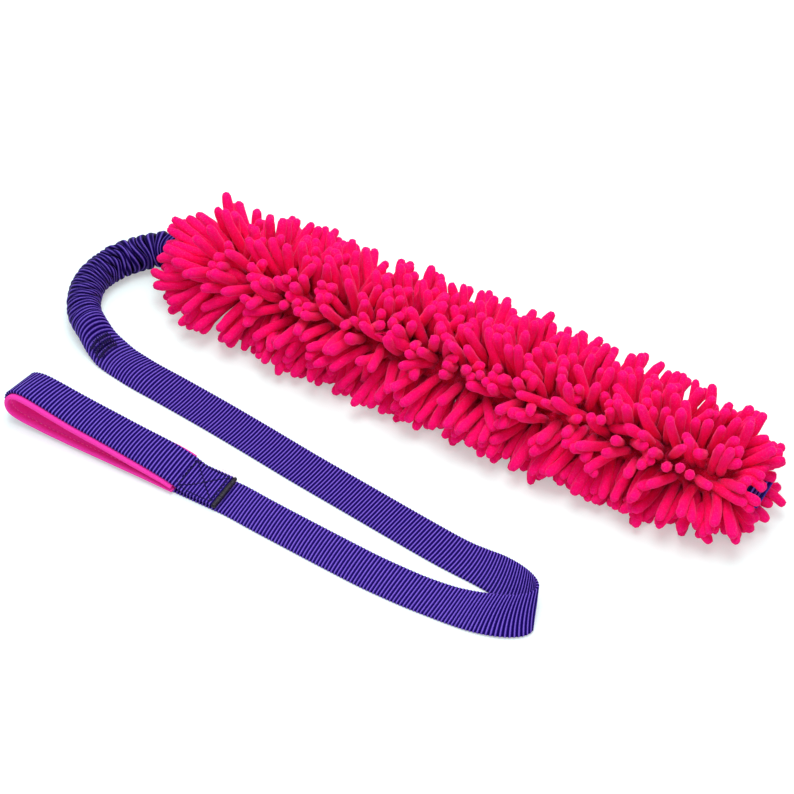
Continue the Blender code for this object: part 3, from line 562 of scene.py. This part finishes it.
def cover_section(distance):
    """Half width, half height, roundness and middle height of the cover at distances along it."""
    known = np.array(GATHER_SECTIONS)
    wide, tall, rounded = (np.interp(distance, known[:, 0], known[:, i]) for i in (1, 2, 3))
    middle = bungee_line(distance)[0]
    height = middle[:, 2] + (tall / 2 - middle[:, 2]) * (1 - ease(distance, 20, 34))
    return wide / 2, tall / 2, rounded, height


def fold_pitch(distance):
    """Distance between the cover's folds: fine crinkles at first, then deep rolls at the mop."""
    return 4.6 + 1.5 * ease(distance, 80, 130)


def make_bungee_cover(finish):
    """The gathered tape end and the ruched sleeve, one tubular webbing pushed into folds."""
    end = bungee_length()
    fine = np.linspace(0, end, 2000)
    stretch = 1 + 0.32 * ease(fine, 26, 44)
    webbing = np.concatenate([[0], np.cumsum(stretch[1:] * np.diff(fine))])
    folds = np.concatenate([[0], np.cumsum(np.diff(fine) / fold_pitch(fine[1:]))])
    stations = rib_stations(webbing[-1])
    distance = np.interp(stations, webbing, fine)
    flat = flat_section(21)
    sides = len(flat)
    start_turn = math.pi - math.pi / sides * 2.0
    turns = start_turn - np.arange(sides) * 2 * np.pi / sides
    circle = np.stack([np.cos(turns), np.sin(turns)], axis=1)

    middle, forward, left, up = bungee_line(distance)
    half_width, half_height, rounded, height = cover_section(distance)
    middle[:, 2] = height
    fold = np.interp(distance, fine, folds)[:, None]
    row, turn = distance[:, None], turns[None, :]
    wander = (0.20 * np.sin(turn + 0.043 * row) + 0.16 * np.sin(2 * turn - 0.11 * row + 1.0)
              + 0.12 * np.sin(3 * turn + 0.23 * row))
    crinkled = ease(row, 30, 44) * (1 - ease(row, 88, 115))
    phase = np.pi * (fold + 0.35 * crinkled * np.sin(2 * turn + 0.21 * row))
    roll = np.abs(np.sin(phase)) ** 0.8
    strength = ease(row, 25, 40) * (0.45 + 0.55 * ease(row, 72, 100))
    uneven = 0.82 + 0.18 * np.sin(2.1 * turn + 0.37 * row) * np.sin(0.19 * row + turn)
    swell = (roll - 0.68) * 4.6 * strength * uneven
    # The folds wander along the cord, and the webbing's ribs wander with them.
    lean = strength * fold_pitch(row) * (
        wander * (1 + 0.8 * crinkled) - 0.15 * np.sin(2 * phase))
    gap = 0.5 + 0.5 * np.cos(2 * np.pi * stations / RIB_PITCH)
    gap, round_share = gap[:, None], rounded[:, None]
    share = rounded[:, None, None]
    section = flat[None] * (1 - share) + circle[None] * share
    rib_cut = 1 - gap * (RIB_DEPTH * (1 - round_share) + 0.022 * round_share)
    reach_side = ((half_width[:, None] + swell) * (1 - 0.022 * gap * round_share)
                  - SELVEDGE_BITE * gap * (1 - round_share)) * section[..., 0]
    reach_up = (half_height[:, None] + swell * share[..., 0]) * section[..., 1] * rib_cut
    sweep = RIB_SWEEP * (1 - ease(row, 16, 36)) * (1 - flat[None, :, 0] ** 2)
    slide = lean + sweep
    places = (middle[:, None] + left[:, None] * reach_side[..., None]
              + up[:, None] * reach_up[..., None] + forward[:, None] * slide[..., None])
    places[..., 2] = np.maximum(places[..., 2], 0.05)
    # The crease value is painted shade: strongest in the valleys between the folds, and a little darker all
    # along the sleeve past the gather.
    crease_shade = np.clip(0.22 * ease(row, 28, 60) + (1 - roll) * strength * 1.5, 0, 1)
    bm = bmesh.new()
    wrap_grid(bm, places, stations, 2 * WEBBING_WIDTH, crease_shade)
    cover = new_piece("bungee_cover", bm, finish["ruched"])
    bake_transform(cover, "lead", "bungee_front", *(to_frame(p) for p in BUNGEE_BLEND))
    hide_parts("lead_gather", "bungee_sleeve")


def round_rod(name, middle, left, up, radius, material, sides=16):
    """A plain round rod through the given middles, closed at both ends."""
    turns = np.linspace(0, 2 * np.pi, sides, endpoint=False)
    places = (middle[:, None] + radius * np.cos(turns)[None, :, None] * left[:, None]
              + radius * np.sin(turns)[None, :, None] * up[:, None])
    bm = bmesh.new()
    wrap_grid(bm, places, distances(middle), 2 * np.pi * radius)
    return new_piece(name, bm, material)


def make_elastic(finish):
    """The round elastic that lies in the sleeve."""
    wanted = np.linspace(GATHER_END + 0.5, bungee_length() - 0.5, 80)
    middle, _, left, up = bungee_line(wanted)
    elastic = round_rod("bungee_elastic_cord", middle, left, up, ELASTIC_RADIUS, finish["elastic"])
    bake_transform(elastic, "lead", "bungee_front", *(to_frame(p) for p in BUNGEE_BLEND))
    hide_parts("bungee_elastic")


def gather_top(distance, side):
    """A place on top of the gathered end, side mm left of its middle, and its directions."""
    middle, forward, left, up = (v[0] for v in bungee_line([distance]))
    half_width, half_height, rounded, height = (v[0] for v in cover_section(np.array([distance])))
    rise = half_height * (1 - rounded + rounded * math.sqrt(max(0, 1 - (side / half_width) ** 2)))
    return np.array((middle[0], middle[1], height + rise)) + left * side, forward, left


def sweep_at(side):
    """How far the gathered ribs run ahead, side mm from the middle."""
    return RIB_SWEEP * (1 - (side / (WEBBING_WIDTH / 2)) ** 2) - RIB_SWEEP / 2


def make_rear_tack(finish):
    """Three bars of zigzag thread across the gathered end, along its bowed ribs."""
    bm = bmesh.new()
    rng = np.random.default_rng(7)
    for bar_start, bar_end in ((8.4, 11.4), (11.4, 14.4), (14.6, 17.6)):
        for number, side in enumerate(np.arange(-5.8, 9.4, 0.75)):
            distance = (bar_start + bar_end) / 2 + rng.normal(0, 0.4) + sweep_at(side)
            place, forward, left = gather_top(distance, side)
            slant = (0.42 if number % 2 else -0.42) + rng.normal(0, 0.12)
            ahead = gather_top(distance + 0.6, side)[0] - gather_top(distance - 0.6, side)[0]
            add_stitch(bm, place + UP * 0.08, unit(ahead) + left * slant, left,
                       bar_end - bar_start + rng.normal(0.3, 0.5), 0.72)
    tack = new_piece("rear_bar_tack_thread", bm, finish["dark thread"])
    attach(tack, "lead")
    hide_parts("rear_bar_tack")


# ---------------------------------------------------------------- throat and core

def make_throat(finish):
    """The mop's hem, a padded ring of fabric round the sleeve's end."""
    end = bungee_length()
    middle, forward, left, up = (v[0] for v in bungee_line([end - 5.0]))
    turns = np.linspace(0, 2 * np.pi, 40, endpoint=False)
    round_it = np.linspace(0, 2 * np.pi, 12, endpoint=False)
    reach = 12.1 + 0.8 * np.sin(round_it)[None] + 0.15 * np.cos(14 * turns)[:, None]
    spoke = left[None] * np.cos(turns)[:, None] + up[None] * np.sin(turns)[:, None]
    places = (middle + spoke[:, None] * reach[..., None]
              + forward * (4.5 * np.cos(round_it))[None, :, None])
    bm = bmesh.new()
    wrap_grid(bm, places, turns * 12, 20.0, closed_along=True)
    hem = new_piece("throat_hem_fabric", bm, finish["hem"])
    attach(hem, "bungee_front")
    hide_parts("throat_hem")


def make_core(finish):
    """The core webbing through the mop, whose end is folded back on itself at the tip."""
    half = WEBBING_THICKNESS / 2
    route = [(0.0, MOP_HEIGHT - half), (200.0, MOP_HEIGHT - half), (366.0, MOP_HEIGHT - half),
             (371.5, MOP_HEIGHT - half), (373.3, MOP_HEIGHT), (371.5, MOP_HEIGHT + half),
             (366.0, MOP_HEIGHT + half), (352.0, MOP_HEIGHT + half)]
    line = smooth_rows(route, 16)
    line = np.column_stack([line[:, 0], np.zeros(len(line)), line[:, 1]])
    along = distances(line)
    stations = rib_stations(along[-1])[::2]
    middle = read_at(line, along, stations)
    across = np.tile((0.0, 1.0, 0.0), (len(middle), 1))
    core = make_tape("core_webbing_tape", middle, across, stations, finish["webbing"],
                     section=flat_section(7), thickness=1.9)
    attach(core, "mop")
    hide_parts("core_webbing", "tip_webbing_fold")

    length = MOP_LENGTH - 6.0
    stations = np.linspace(0, length, 60)
    middle = np.column_stack([MOP_START + 3.0 + stations, 0.3 * np.sin(stations / 9.0),
                              np.full(60, MOP_HEIGHT - 3.4)])
    across = np.tile((0.0, 1.0, 0.0), (60, 1))
    seam = make_tape("closing_seam_fabric", middle, across, stations, finish["backing"],
                     section=flat_section(5), width=8.0, thickness=2.0, rib_depth=0.0)
    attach(seam, "mop")
    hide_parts("closing_seam")


# ---------------------------------------------------------------- mop noodles

def noodle_roots(rng):
    """Root, first direction, length and thickness of every noodle, in staggered rows."""
    fine = np.linspace(0, 2 * np.pi, 721)
    walk = distances(np.stack([BACKING_HALF_WIDTH * np.cos(fine),
                               BACKING_HALF_HEIGHT * np.sin(fine)], axis=1))
    roots, headings, lengths, radii = [], [], [], []
    pitch = MOP_LENGTH / NOODLE_ROWS
    end_x = MOP_START + MOP_LENGTH

    def plant(root, heading, length):
        roots.append(root)
        headings.append(unit(heading + rng.normal(0, 0.16, 3)))
        lengths.append(length * (1 + rng.normal(0, 0.07)))
        radii.append(NOODLE_RADIUS * (1 + rng.normal(0, 0.05)))

    for row in range(-1, NOODLE_ROWS):
        for spot in range(NOODLES_PER_ROW):
            share = (spot + 0.5 * (row % 2) + rng.normal(0, 0.16)) / NOODLES_PER_ROW
            turn = np.interp(share % 1.0 * walk[-1], walk, fine)
            x = MOP_START + (row + 0.5 + rng.normal(0, 0.16)) * pitch
            x = min(max(x, MOP_START + 1), end_x - 1)
            outward = unit(np.array((0, math.cos(turn) / BACKING_HALF_WIDTH,
                                     math.sin(turn) / BACKING_HALF_HEIGHT)))
            to_start, to_end = x - MOP_START, end_x - x
            lean = 1.15 * math.exp(-to_end / 14.0) - 1.5 * math.exp(-to_start / 13.0)
            lean += rng.normal(0, 0.2) - 0.35 * (row < 0)
            heading = outward * math.cos(lean) + np.array((math.sin(lean), 0, 0))
            if heading[2] < -0.35:  # the ones below are pressed out sideways by the floor
                heading = heading * (1, 1, 0.45) + np.array((0, 0.7 * np.sign(math.cos(turn)), 0))
            root = (x, (BACKING_HALF_WIDTH - 1.5) * math.cos(turn),
                    MOP_HEIGHT + (BACKING_HALF_HEIGHT - 1.5) * math.sin(turn))
            plant(root, heading, NOODLE_LENGTH * (1 - 0.24 * math.exp(-to_end / 14.0)))
    for side in np.linspace(-11.0, 11.0, 6):  # the end's own noodles, above and below the fold
        for level in (6.8, -6.2) if side < 4 else (6.8, 1.9, -6.2):
            plant((end_x - 2.0, side, MOP_HEIGHT + level), (1.0, side / 16, level / 16), 22.0)
    for turn in np.linspace(1.5, 3.4, 5):  # the mouth's own noodles lie on the sleeve
        plant((MOP_START + 1.0, 13.5 * math.cos(turn), MOP_HEIGHT + 8.5 * math.sin(turn)),
              (-1.0, 0.4 * math.cos(turn), 0.12), 27.0)
    return np.array(roots), np.array(headings), np.array(lengths), np.array(radii)


def push_apart(points, owners, reach, weights):
    """Moves of points that are nearer than reach to a point of another noodle."""
    tree = KDTree(len(points))
    for index, point in enumerate(points):
        tree.insert(point, index)
    tree.balance()
    first, second = [], []
    for index, point in enumerate(points):
        for _, other, _ in tree.find_range(point, reach):
            if other > index and owners[other] != owners[index]:
                first.append(index)
                second.append(other)
    moves = np.zeros_like(points)
    if first:
        first, second = np.array(first), np.array(second)
        gap = points[first] - points[second]
        size = np.linalg.norm(gap, axis=1, keepdims=True)
        shift = gap / np.maximum(size, 1e-6) * (reach - size) * NUDGE
        np.add.at(moves, first, shift * weights[first, None])
        np.add.at(moves, second, -shift * weights[second, None])
    return moves


def keep_off(points, line, reach):
    """Points pushed out to reach from the nearest of the line's points."""
    gap = points[:, :, None] - line[None, None]
    size = np.linalg.norm(gap, axis=-1)
    nearest = size.argmin(-1)
    near_gap = np.take_along_axis(gap, nearest[..., None, None], 2)[:, :, 0]
    near_size = np.take_along_axis(size, nearest[..., None], 2)
    return points + near_gap / np.maximum(near_size, 1e-6) * np.maximum(reach - near_size, 0)


def settle(roots, headings, lengths, radii, rng, rounds):
    """Lets the noodles push each other aside, droop and come to rest on the floor."""
    count = len(roots)
    steps = np.arange(NOODLE_LINKS + 1)
    link = lengths / NOODLE_LINKS
    curl = rng.normal(0, 1.0, (count, 3)) * 2.8
    rest = (roots[:, None] + headings[:, None] * (link[:, None] * steps)[..., None]
            + curl[:, None] * ((steps / NOODLE_LINKS) ** 2)[None, :, None])
    points = rest.copy()
    owners = np.repeat(np.arange(count), NOODLE_LINKS - 1)
    weights = np.tile(np.linspace(0.5, 1.0, NOODLE_LINKS - 1), count)
    sleeve = bungee_line(np.arange(bungee_length() - 50, bungee_length(), 3.0))[0]
    sight = np.array(SIGHT_START) + np.arange(0, 40, 3.0)[:, None] * np.array(SIGHT_HEADING)
    least = radii[:, None] * 1.04
    for _ in range(rounds):
        points[:, 2:] += (rest[:, 2:] - points[:, 2:]) * PULL_BACK
        points[:, 2:, 2] -= DROOP * (steps[2:] / NOODLE_LINKS)
        free = points[:, 2:].reshape(-1, 3)
        points[:, 2:] += push_apart(free, owners, 2 * NOODLE_RADIUS * 0.97, weights).reshape(
            count, -1, 3)
        points[:, 2:] = keep_off(points[:, 2:], sleeve, SLEEVE_ROOM + NOODLE_RADIUS)
        points[:, 3:] = keep_off(points[:, 3:], sight, SIGHT_ROOM + NOODLE_RADIUS)
        bend = (points[:, :-2] + points[:, 2:]) / 2 - points[:, 1:-1]  # the pile is springy
        points[:, 2:-1] += bend[:, 1:] * SPRING
        over = ((points[..., 1] / (BACKING_HALF_WIDTH + 2.5)) ** 2
                + ((points[..., 2] - MOP_HEIGHT) / (BACKING_HALF_HEIGHT + 2.5)) ** 2)
        inside = (over < 1) & (np.abs(points[..., 0] - MOP_START - MOP_LENGTH / 2)
                               < MOP_LENGTH / 2) & (steps[None] > 1)
        grow = np.where(inside, 1 / np.sqrt(np.maximum(over, 0.05)), 1.0)
        points[..., 1] *= grow
        points[..., 2] = MOP_HEIGHT + (points[..., 2] - MOP_HEIGHT) * grow
        points[:, 1:, 2] = np.maximum(points[:, 1:, 2], least)
        for k in range(1, NOODLE_LINKS + 1):
            step = unit(points[:, k] - points[:, k - 1])
            points[:, k] = points[:, k - 1] + step * link[:, None]
        points[:, 1:, 2] = np.maximum(points[:, 1:, 2], least)
    return points


# Rings of a noodle from root to tip: share of its length, and share of its thickness.
NOODLE_RINGS = ((0.0, 0.0), (0.02, 0.75), (0.22, 0.96), (0.44, 1.0), (0.66, 1.03), (0.83, 1.03),
                (0.925, 0.92), (0.977, 0.62), (1.0, 0.0))


def add_noodle(bm, line, radius, shade, rng):
    """One round-ended noodle along its line of points."""
    rings = len(NOODLE_RINGS) - 1
    shares, fatness = np.array(NOODLE_RINGS).T
    rounded = smooth_rows(line, 4)
    along = distances(rounded)
    along /= along[-1]
    centres = read_at(rounded, along, shares)
    ahead = unit(read_at(rounded, along, np.minimum(shares + 0.08, 1))
                 - read_at(rounded, along, np.maximum(shares - 0.08, 0)))
    side = [np.cross(ahead[0], unit(np.array((0.31, 0.17, 1.0)) + 0.1 * ahead[0][::-1]))]
    for direction in ahead:  # each ring's side is the last one's, kept square to the noodle
        side.append(unit(side[-1] - direction * (side[-1] @ direction)))
    side = np.array(side[1:])
    other = np.cross(ahead, side)
    fatness = fatness * radius * (1 + rng.normal(0, 0.045, len(fatness)))
    along_layer, shade_layer = (bm.verts.layers.float[n] for n in ("pile_along", "pile_shade"))
    made = bmesh.ops.create_uvsphere(bm, u_segments=8, v_segments=rings, radius=1.0)["verts"]
    for vert in made:
        ring = round(math.acos(max(-1.0, min(1.0, vert.co.z))) / math.pi * rings)
        turn = math.atan2(vert.co.y, vert.co.x)
        place = centres[ring] + fatness[ring] * (1 + rng.normal(0, 0.05)) * (
            side[ring] * math.cos(turn) + other[ring] * math.sin(turn))
        place[2] = max(place[2], 0.1)
        vert.co = to_frame(place)
        vert[along_layer] = shares[ring]
        vert[shade_layer] = shade


def make_mop(finish):
    """The pile in eight slices, each a length of backing with its chenille noodles."""
    rng = np.random.default_rng(NOODLE_SEED)
    roots, headings, lengths, radii = noodle_roots(rng)
    rounds = SETTLE_ROUNDS
    lines = settle(roots, headings, lengths, radii, rng, rounds)
    slice_length = MOP_LENGTH / MOP_SLICES
    owners = np.clip(((roots[:, 0] - MOP_START) / slice_length).astype(int), 0, MOP_SLICES - 1)
    for number in range(MOP_SLICES):
        bm = bmesh.new()
        for layer in ("pile_along", "pile_shade"):
            bm.verts.layers.float.new(layer)
        middle = to_frame((MOP_START + (number + 0.5) * slice_length, 0, MOP_HEIGHT))
        matrix = (Matrix.Translation(Vector(middle)) @ Matrix.Rotation(math.pi / 2, 4, "Y")
                  @ Matrix.Diagonal((BACKING_HALF_HEIGHT / 1000, BACKING_HALF_WIDTH / 1000, 1, 1)))
        bmesh.ops.create_cone(bm, cap_ends=True, segments=28, radius1=1.0, radius2=1.0,
                              depth=slice_length / 1000, matrix=matrix)
        for index in np.flatnonzero(owners == number):
            add_noodle(bm, lines[index], radii[index], rng.uniform(0, 0.8), rng)
        bmesh.ops.recalc_face_normals(bm, faces=bm.faces)
        pile = new_piece(f"mop_noodles_{number + 1}", bm, finish["chenille"])
        if number == 0:  # its first noodles lie on the sleeve and stay there as the mop swings
            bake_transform(pile, "bungee_front", "mop", *(to_frame(p) for p in THROAT_BLEND))
        else:
            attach(pile, "mop")
        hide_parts(f"mop_pile_{number + 1}")


# ---------------------------------------------------------------- hand loop

def loop_line():
    """Middle line of the loop's tape in x and height, and the distance along it."""
    half = WEBBING_THICKNESS / 2
    rows = [(x, half + rise) for x, rise in LOOP_LOWER]
    rows += [(x, LOOP_CLOSED_HEIGHT + clear) for x, clear in LOOP_UPPER]
    rows += [(x, LOOP_SEWN_HEIGHT + (LOOP_CLOSED_HEIGHT - LOOP_SEWN_HEIGHT) * share)
             for x, share in LOOP_CLOSING]
    points = smooth_rows(rows)
    points[:, 1] = np.maximum(points[:, 1], half)
    return points, distances(points)


def loop_frame(stations):
    """Middle, inward direction and rib direction of the loop at distances along it."""
    line, along = loop_line()
    flat = read_at(line, along, stations)
    forward = unit(read_at(line, along, np.minimum(stations + 1.2, along[-1]))
                   - read_at(line, along, np.maximum(stations - 1.2, 0)))
    middle = np.column_stack([flat[:, 0], np.full(len(flat), LOOP_Y), flat[:, 1]])
    nose = along[np.argmin(line[:, 0])]
    slope = np.interp(flat[:, 0], *np.array(LOOP_ROLL).T) * ease(stations, nose - 10, nose + 14)
    skew = LOOP_SKEW * ease(-flat[:, 0], -10, 36)  # the turn reaches further out on the near side
    middle[:, 0] -= skew * WEBBING_WIDTH / 2
    across = unit(np.column_stack([skew, np.ones(len(flat)), -slope]))
    ahead = np.column_stack([forward[:, 0], np.zeros(len(flat)), forward[:, 1]])
    return middle, unit(np.cross(across, ahead)), across


def lining_span():
    """Distances along the loop at which the lining starts and ends."""
    line, along = loop_line()
    nose = int(np.argmin(line[:, 0]))
    return (np.interp(-LINING_END_X, -line[:nose, 0], along[:nose]),
            np.interp(LINING_END_X, line[nose:, 0], along[nose:]))


def make_loop_tape(finish):
    """The hand loop's webbing, folded back on the lead."""
    _, along = loop_line()
    stations = rib_stations(along[-1])
    middle, _, across = loop_frame(stations)
    bow = -0.7 * ease(stations, 60, 170) * (1 - ease(stations, along[-1] - 60, along[-1] - 20))
    tape = make_tape("hand_loop_tape", middle, across, stations, finish["webbing"], bow)
    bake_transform(tape, "near_lead", "hand_loop", *(to_frame(p) for p in LOOP_BLEND))
    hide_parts("hand_loop_webbing")


def lining_section():
    """Shares of half width and of thickness round the lining: crowned, pulled in at its seams."""
    across = np.linspace(-0.96, 0.96, 25)
    pinch = np.exp(-((np.abs(across) - LINING_SEAM) / 0.07) ** 2)
    crown = 1.0 - 0.26 * pinch - 0.10 * np.abs(across) ** 8
    top = list(zip(across, crown))
    return top + [(1.0, 0.72), (1.0, 0.26)] + [(x, 0.04 * abs(x) ** 8) for x in -across] + [
        (-1.0, 0.26), (-1.0, 0.72)]


def make_lining(finish):
    """The padded lining inside the loop, and its two rows of stitches."""
    start, end = lining_span()
    stations = np.linspace(start, end, 180)
    middle, inward, across = loop_frame(stations)
    section = np.array(lining_section())
    low, high = LINING_DEPTHS
    wave = 1 + 0.035 * np.sin(stations / 3.1) * np.sin(stations / 11.0)

    def loft(centres):
        """Thickness of the padding, pressed thin where the loop closes and where it turns."""
        return high - low - LINING_PRESSED * (
            ease(centres[:, 0], 52, LINING_END_X) + 0.6 * ease(-centres[:, 0], 22, 38))

    depth = low + loft(middle)[:, None] * section[None, :, 1] * wave[:, None]
    nose = stations[np.argmin(middle[:, 0])]
    near = LINING_WIDTH / 2 + LINING_NOSE_BULGE * np.exp(-((stations - nose) / 22.0) ** 2)
    far = LINING_WIDTH / 2 - 1.7 * (1 - ease(middle[:, 0], 30, LINING_END_X))
    half_width = np.where(section[None, :, 0] > 0, far[:, None], near[:, None])
    places = (middle[:, None] + inward[:, None] * depth[..., None]
              + across[:, None] * (section[None, :, 0] * half_width)[..., None])
    bm = bmesh.new()
    wrap_grid(bm, places, stations, 2 * LINING_WIDTH)
    lining = new_piece("hand_loop_padding", bm, finish["lining"])
    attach(lining, "hand_loop")
    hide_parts("hand_loop_lining")
    for side, node in ((-1, "lining_seam_near"), (1, "lining_seam_far")):
        bm = bmesh.new()
        spots = np.arange(start + 4.0, end - 4.0, 2.9)
        centres, inwards, widths = loop_frame(spots)
        ahead = loop_frame(spots + 0.8)[0] - loop_frame(spots - 0.8)[0]
        for centre, inner, width, onward, thick in zip(centres, inwards, widths, ahead,
                                                       loft(centres)):
            place = centre + inner * (low + thick * 0.78) + width * (
                side * LINING_SEAM * LINING_WIDTH / 2)
            add_stitch(bm, place, onward, width, 1.9, 0.65)
        seam = new_piece(f"{node}_stitches", bm, finish["pink thread"])
        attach(seam, "hand_loop")
        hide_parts(node)


def stitch_row(bm, start, end, lift=0.0, length=2.4, thickness=0.75, gap=0.1, wobble=0.0):
    """A straight row of stitches on top of the loop's sewn end."""
    start, end = np.array(start, float), np.array(end, float)
    line, _ = loop_line()
    nose = np.argmin(line[:, 0])
    count = max(1, round(np.linalg.norm(end - start) / (length + gap)))
    rng = np.random.default_rng(3)
    sideways = unit(np.array((start[1] - end[1], end[0] - start[0], 0.0)))
    flat = start + (end - start) * np.linspace(0, 1, count + 1)[:, None]
    height = np.interp(flat[:, 0], line[nose:, 0], line[nose:, 1]) + WEBBING_THICKNESS / 2 + lift
    holes = np.column_stack([flat, height])
    for first, second in zip(holes, holes[1:]):
        centre = (first + second) / 2 + sideways * rng.normal(0, wobble)
        add_stitch(bm, centre, second - first, sideways,
                   np.linalg.norm(second - first) - gap, thickness)


def make_box_stitch(finish):
    """The crossed box of dark thread that closes the loop."""
    low_x, high_x = BOX_STITCH_X
    low_y, high_y = LOOP_Y - BOX_STITCH_HALF_WIDTH, LOOP_Y + BOX_STITCH_HALF_WIDTH
    bm = bmesh.new()
    corners = ((low_x, low_y), (low_x, high_y), (high_x, high_y), (high_x, low_y))
    for first, second in zip(corners, corners[1:] + corners[:1]):
        stitch_row(bm, first, second)
    stitch_row(bm, corners[0], corners[2], lift=0.1)
    stitch_row(bm, corners[1], corners[3], lift=0.1)
    for x in (low_x - 0.9, high_x - 0.9):  # the locked rows, sewn over themselves
        stitch_row(bm, (x, low_y), (x, high_y), wobble=0.25)
    box = new_piece("box_stitch_thread", bm, finish["dark thread"])
    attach(box, "hand_loop")
    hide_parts("box_stitch")


def make_cut_end(finish):
    """The melted end of the folded tape: a lumpy dark bead across it."""
    rng = np.random.default_rng(11)
    stations = np.linspace(-12.7, 12.7, 60)
    section = np.linspace(0, 2 * np.pi, 14, endpoint=False)
    lump = 1 + 0.10 * np.interp(stations, np.linspace(-13, 13, 27), rng.normal(0, 1, 27))
    taper = np.sqrt(np.maximum(0.05, 1 - (np.abs(stations) / 12.9) ** 14))
    size = (lump * taper)[:, None]
    long, tall = CUT_END_HALF_SIZE
    cosine, sine = np.cos(section), np.sin(section)
    x = CUT_END_X + long * np.sign(cosine) * np.abs(cosine) ** 0.7 * size
    z = LOOP_SEWN_HEIGHT - 0.1 + tall * np.sign(sine) * np.abs(sine) ** 0.6 * size
    places = np.stack([x, np.broadcast_to(LOOP_Y + stations[:, None], x.shape), z], axis=-1)
    bm = bmesh.new()
    wrap_grid(bm, places, stations + 13, 9.0)
    bead = new_piece("webbing_cut_bead", bm, finish["cut end"])
    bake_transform(bead, "near_lead", "hand_loop", *(to_frame(p) for p in LOOP_BLEND))
    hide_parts("webbing_cut_end")


def make_label(finish):
    """The small bare label, whose free end curls down a little past the loop's edge."""
    stations = np.linspace(0, LABEL_LENGTH, 16)
    droop = -0.9 * ease(stations, 6.5, LABEL_LENGTH)
    middle = np.column_stack([np.full(16, LABEL_X), -133.0 + stations, 2.5 + droop])
    across = np.tile((1.0, 0.0, 0.0), (16, 1))
    label = make_tape("bare_label_tab", middle, across, stations, finish["label"],
                      section=flat_section(7), width=LABEL_WIDTH, thickness=0.4, rib_depth=0.0)
    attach(label, "hand_loop")
    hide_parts("label_tab")


def refinish(node, material):
    """Gives a CAD node that stays in view its own material."""
    for material_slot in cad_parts[node].material_slots:
        material_slot.material = material


# ---------------------------------------------------------------- studio

def make_camera():
    """A long lens that looks down on the toy from its near right side."""
    target = np.array(CAMERA_TARGET)
    reach = np.array(CAMERA_REACH)
    data = bpy.data.cameras.new("camera")
    data.lens, data.sensor_width = CAMERA_LENS, CAMERA_SENSOR
    camera = bpy.data.objects.new("camera", data)
    camera.location = (target + reach) / 1000
    camera.rotation_mode = "QUATERNION"
    camera.rotation_quaternion = Vector(-reach).to_track_quat("-Z", "Y")
    bpy.context.scene.collection.objects.link(camera)
    bpy.context.scene.camera = camera


def add_softbox(name, place, power, size):
    """A soft white lamp that faces the toy's middle."""
    data = bpy.data.lights.new(name, "AREA")
    data.shape, data.size, data.energy = "DISK", size, power
    lamp = bpy.data.objects.new(name, data)
    lamp.location = place
    lamp.rotation_mode = "QUATERNION"
    lamp.rotation_quaternion = (-Vector(place)).to_track_quat("-Z", "Y")
    bpy.context.scene.collection.objects.link(lamp)


def make_studio(finish):
    """White paper floor, a wide key lamp high in front and a softer one behind."""
    bm = bmesh.new()
    bmesh.ops.create_grid(bm, x_segments=1, y_segments=1, size=4.0)
    floor = new_piece("studio_floor", bm, finish["floor"], smooth=False)
    add_softbox("key", (0.1, -0.1, 1.75), 16.5, 1.0)
    add_softbox("back", (-0.35, 0.75, 1.5), 7.5, 1.0)
    world = bpy.data.worlds.new("studio")
    world.use_nodes = True
    tree = world.node_tree
    tree.nodes.clear()
    seen = add(tree, "ShaderNodeLightPath").outputs["Is Camera Ray"]
    level = add(tree, "ShaderNodeMapRange", {"Value": seen, "To Min": 0.6, "To Max": 1.0})
    sky = add(tree, "ShaderNodeBackground",
              {"Color": colour("#FFFFFF"), "Strength": level.outputs[0]})
    add(tree, "ShaderNodeOutputWorld", {"Surface": sky.outputs[0]})
    bpy.context.scene.world = world
    bpy.context.scene.view_settings.view_transform = "Standard"


def build():
    """The whole toy, piece by piece, in its studio."""
    make_camera()
    finish = make_materials()
    for make in (make_lead, make_bungee_cover, make_elastic, make_rear_tack, make_throat, make_core,
                 make_mop, make_loop_tape, make_lining, make_box_stitch, make_cut_end, make_label):
        make(finish)
    refinish("front_bar_tack", finish["dark thread"])
    refinish("tip_bar_tack", finish["dark thread"])
    make_studio(finish)


build()
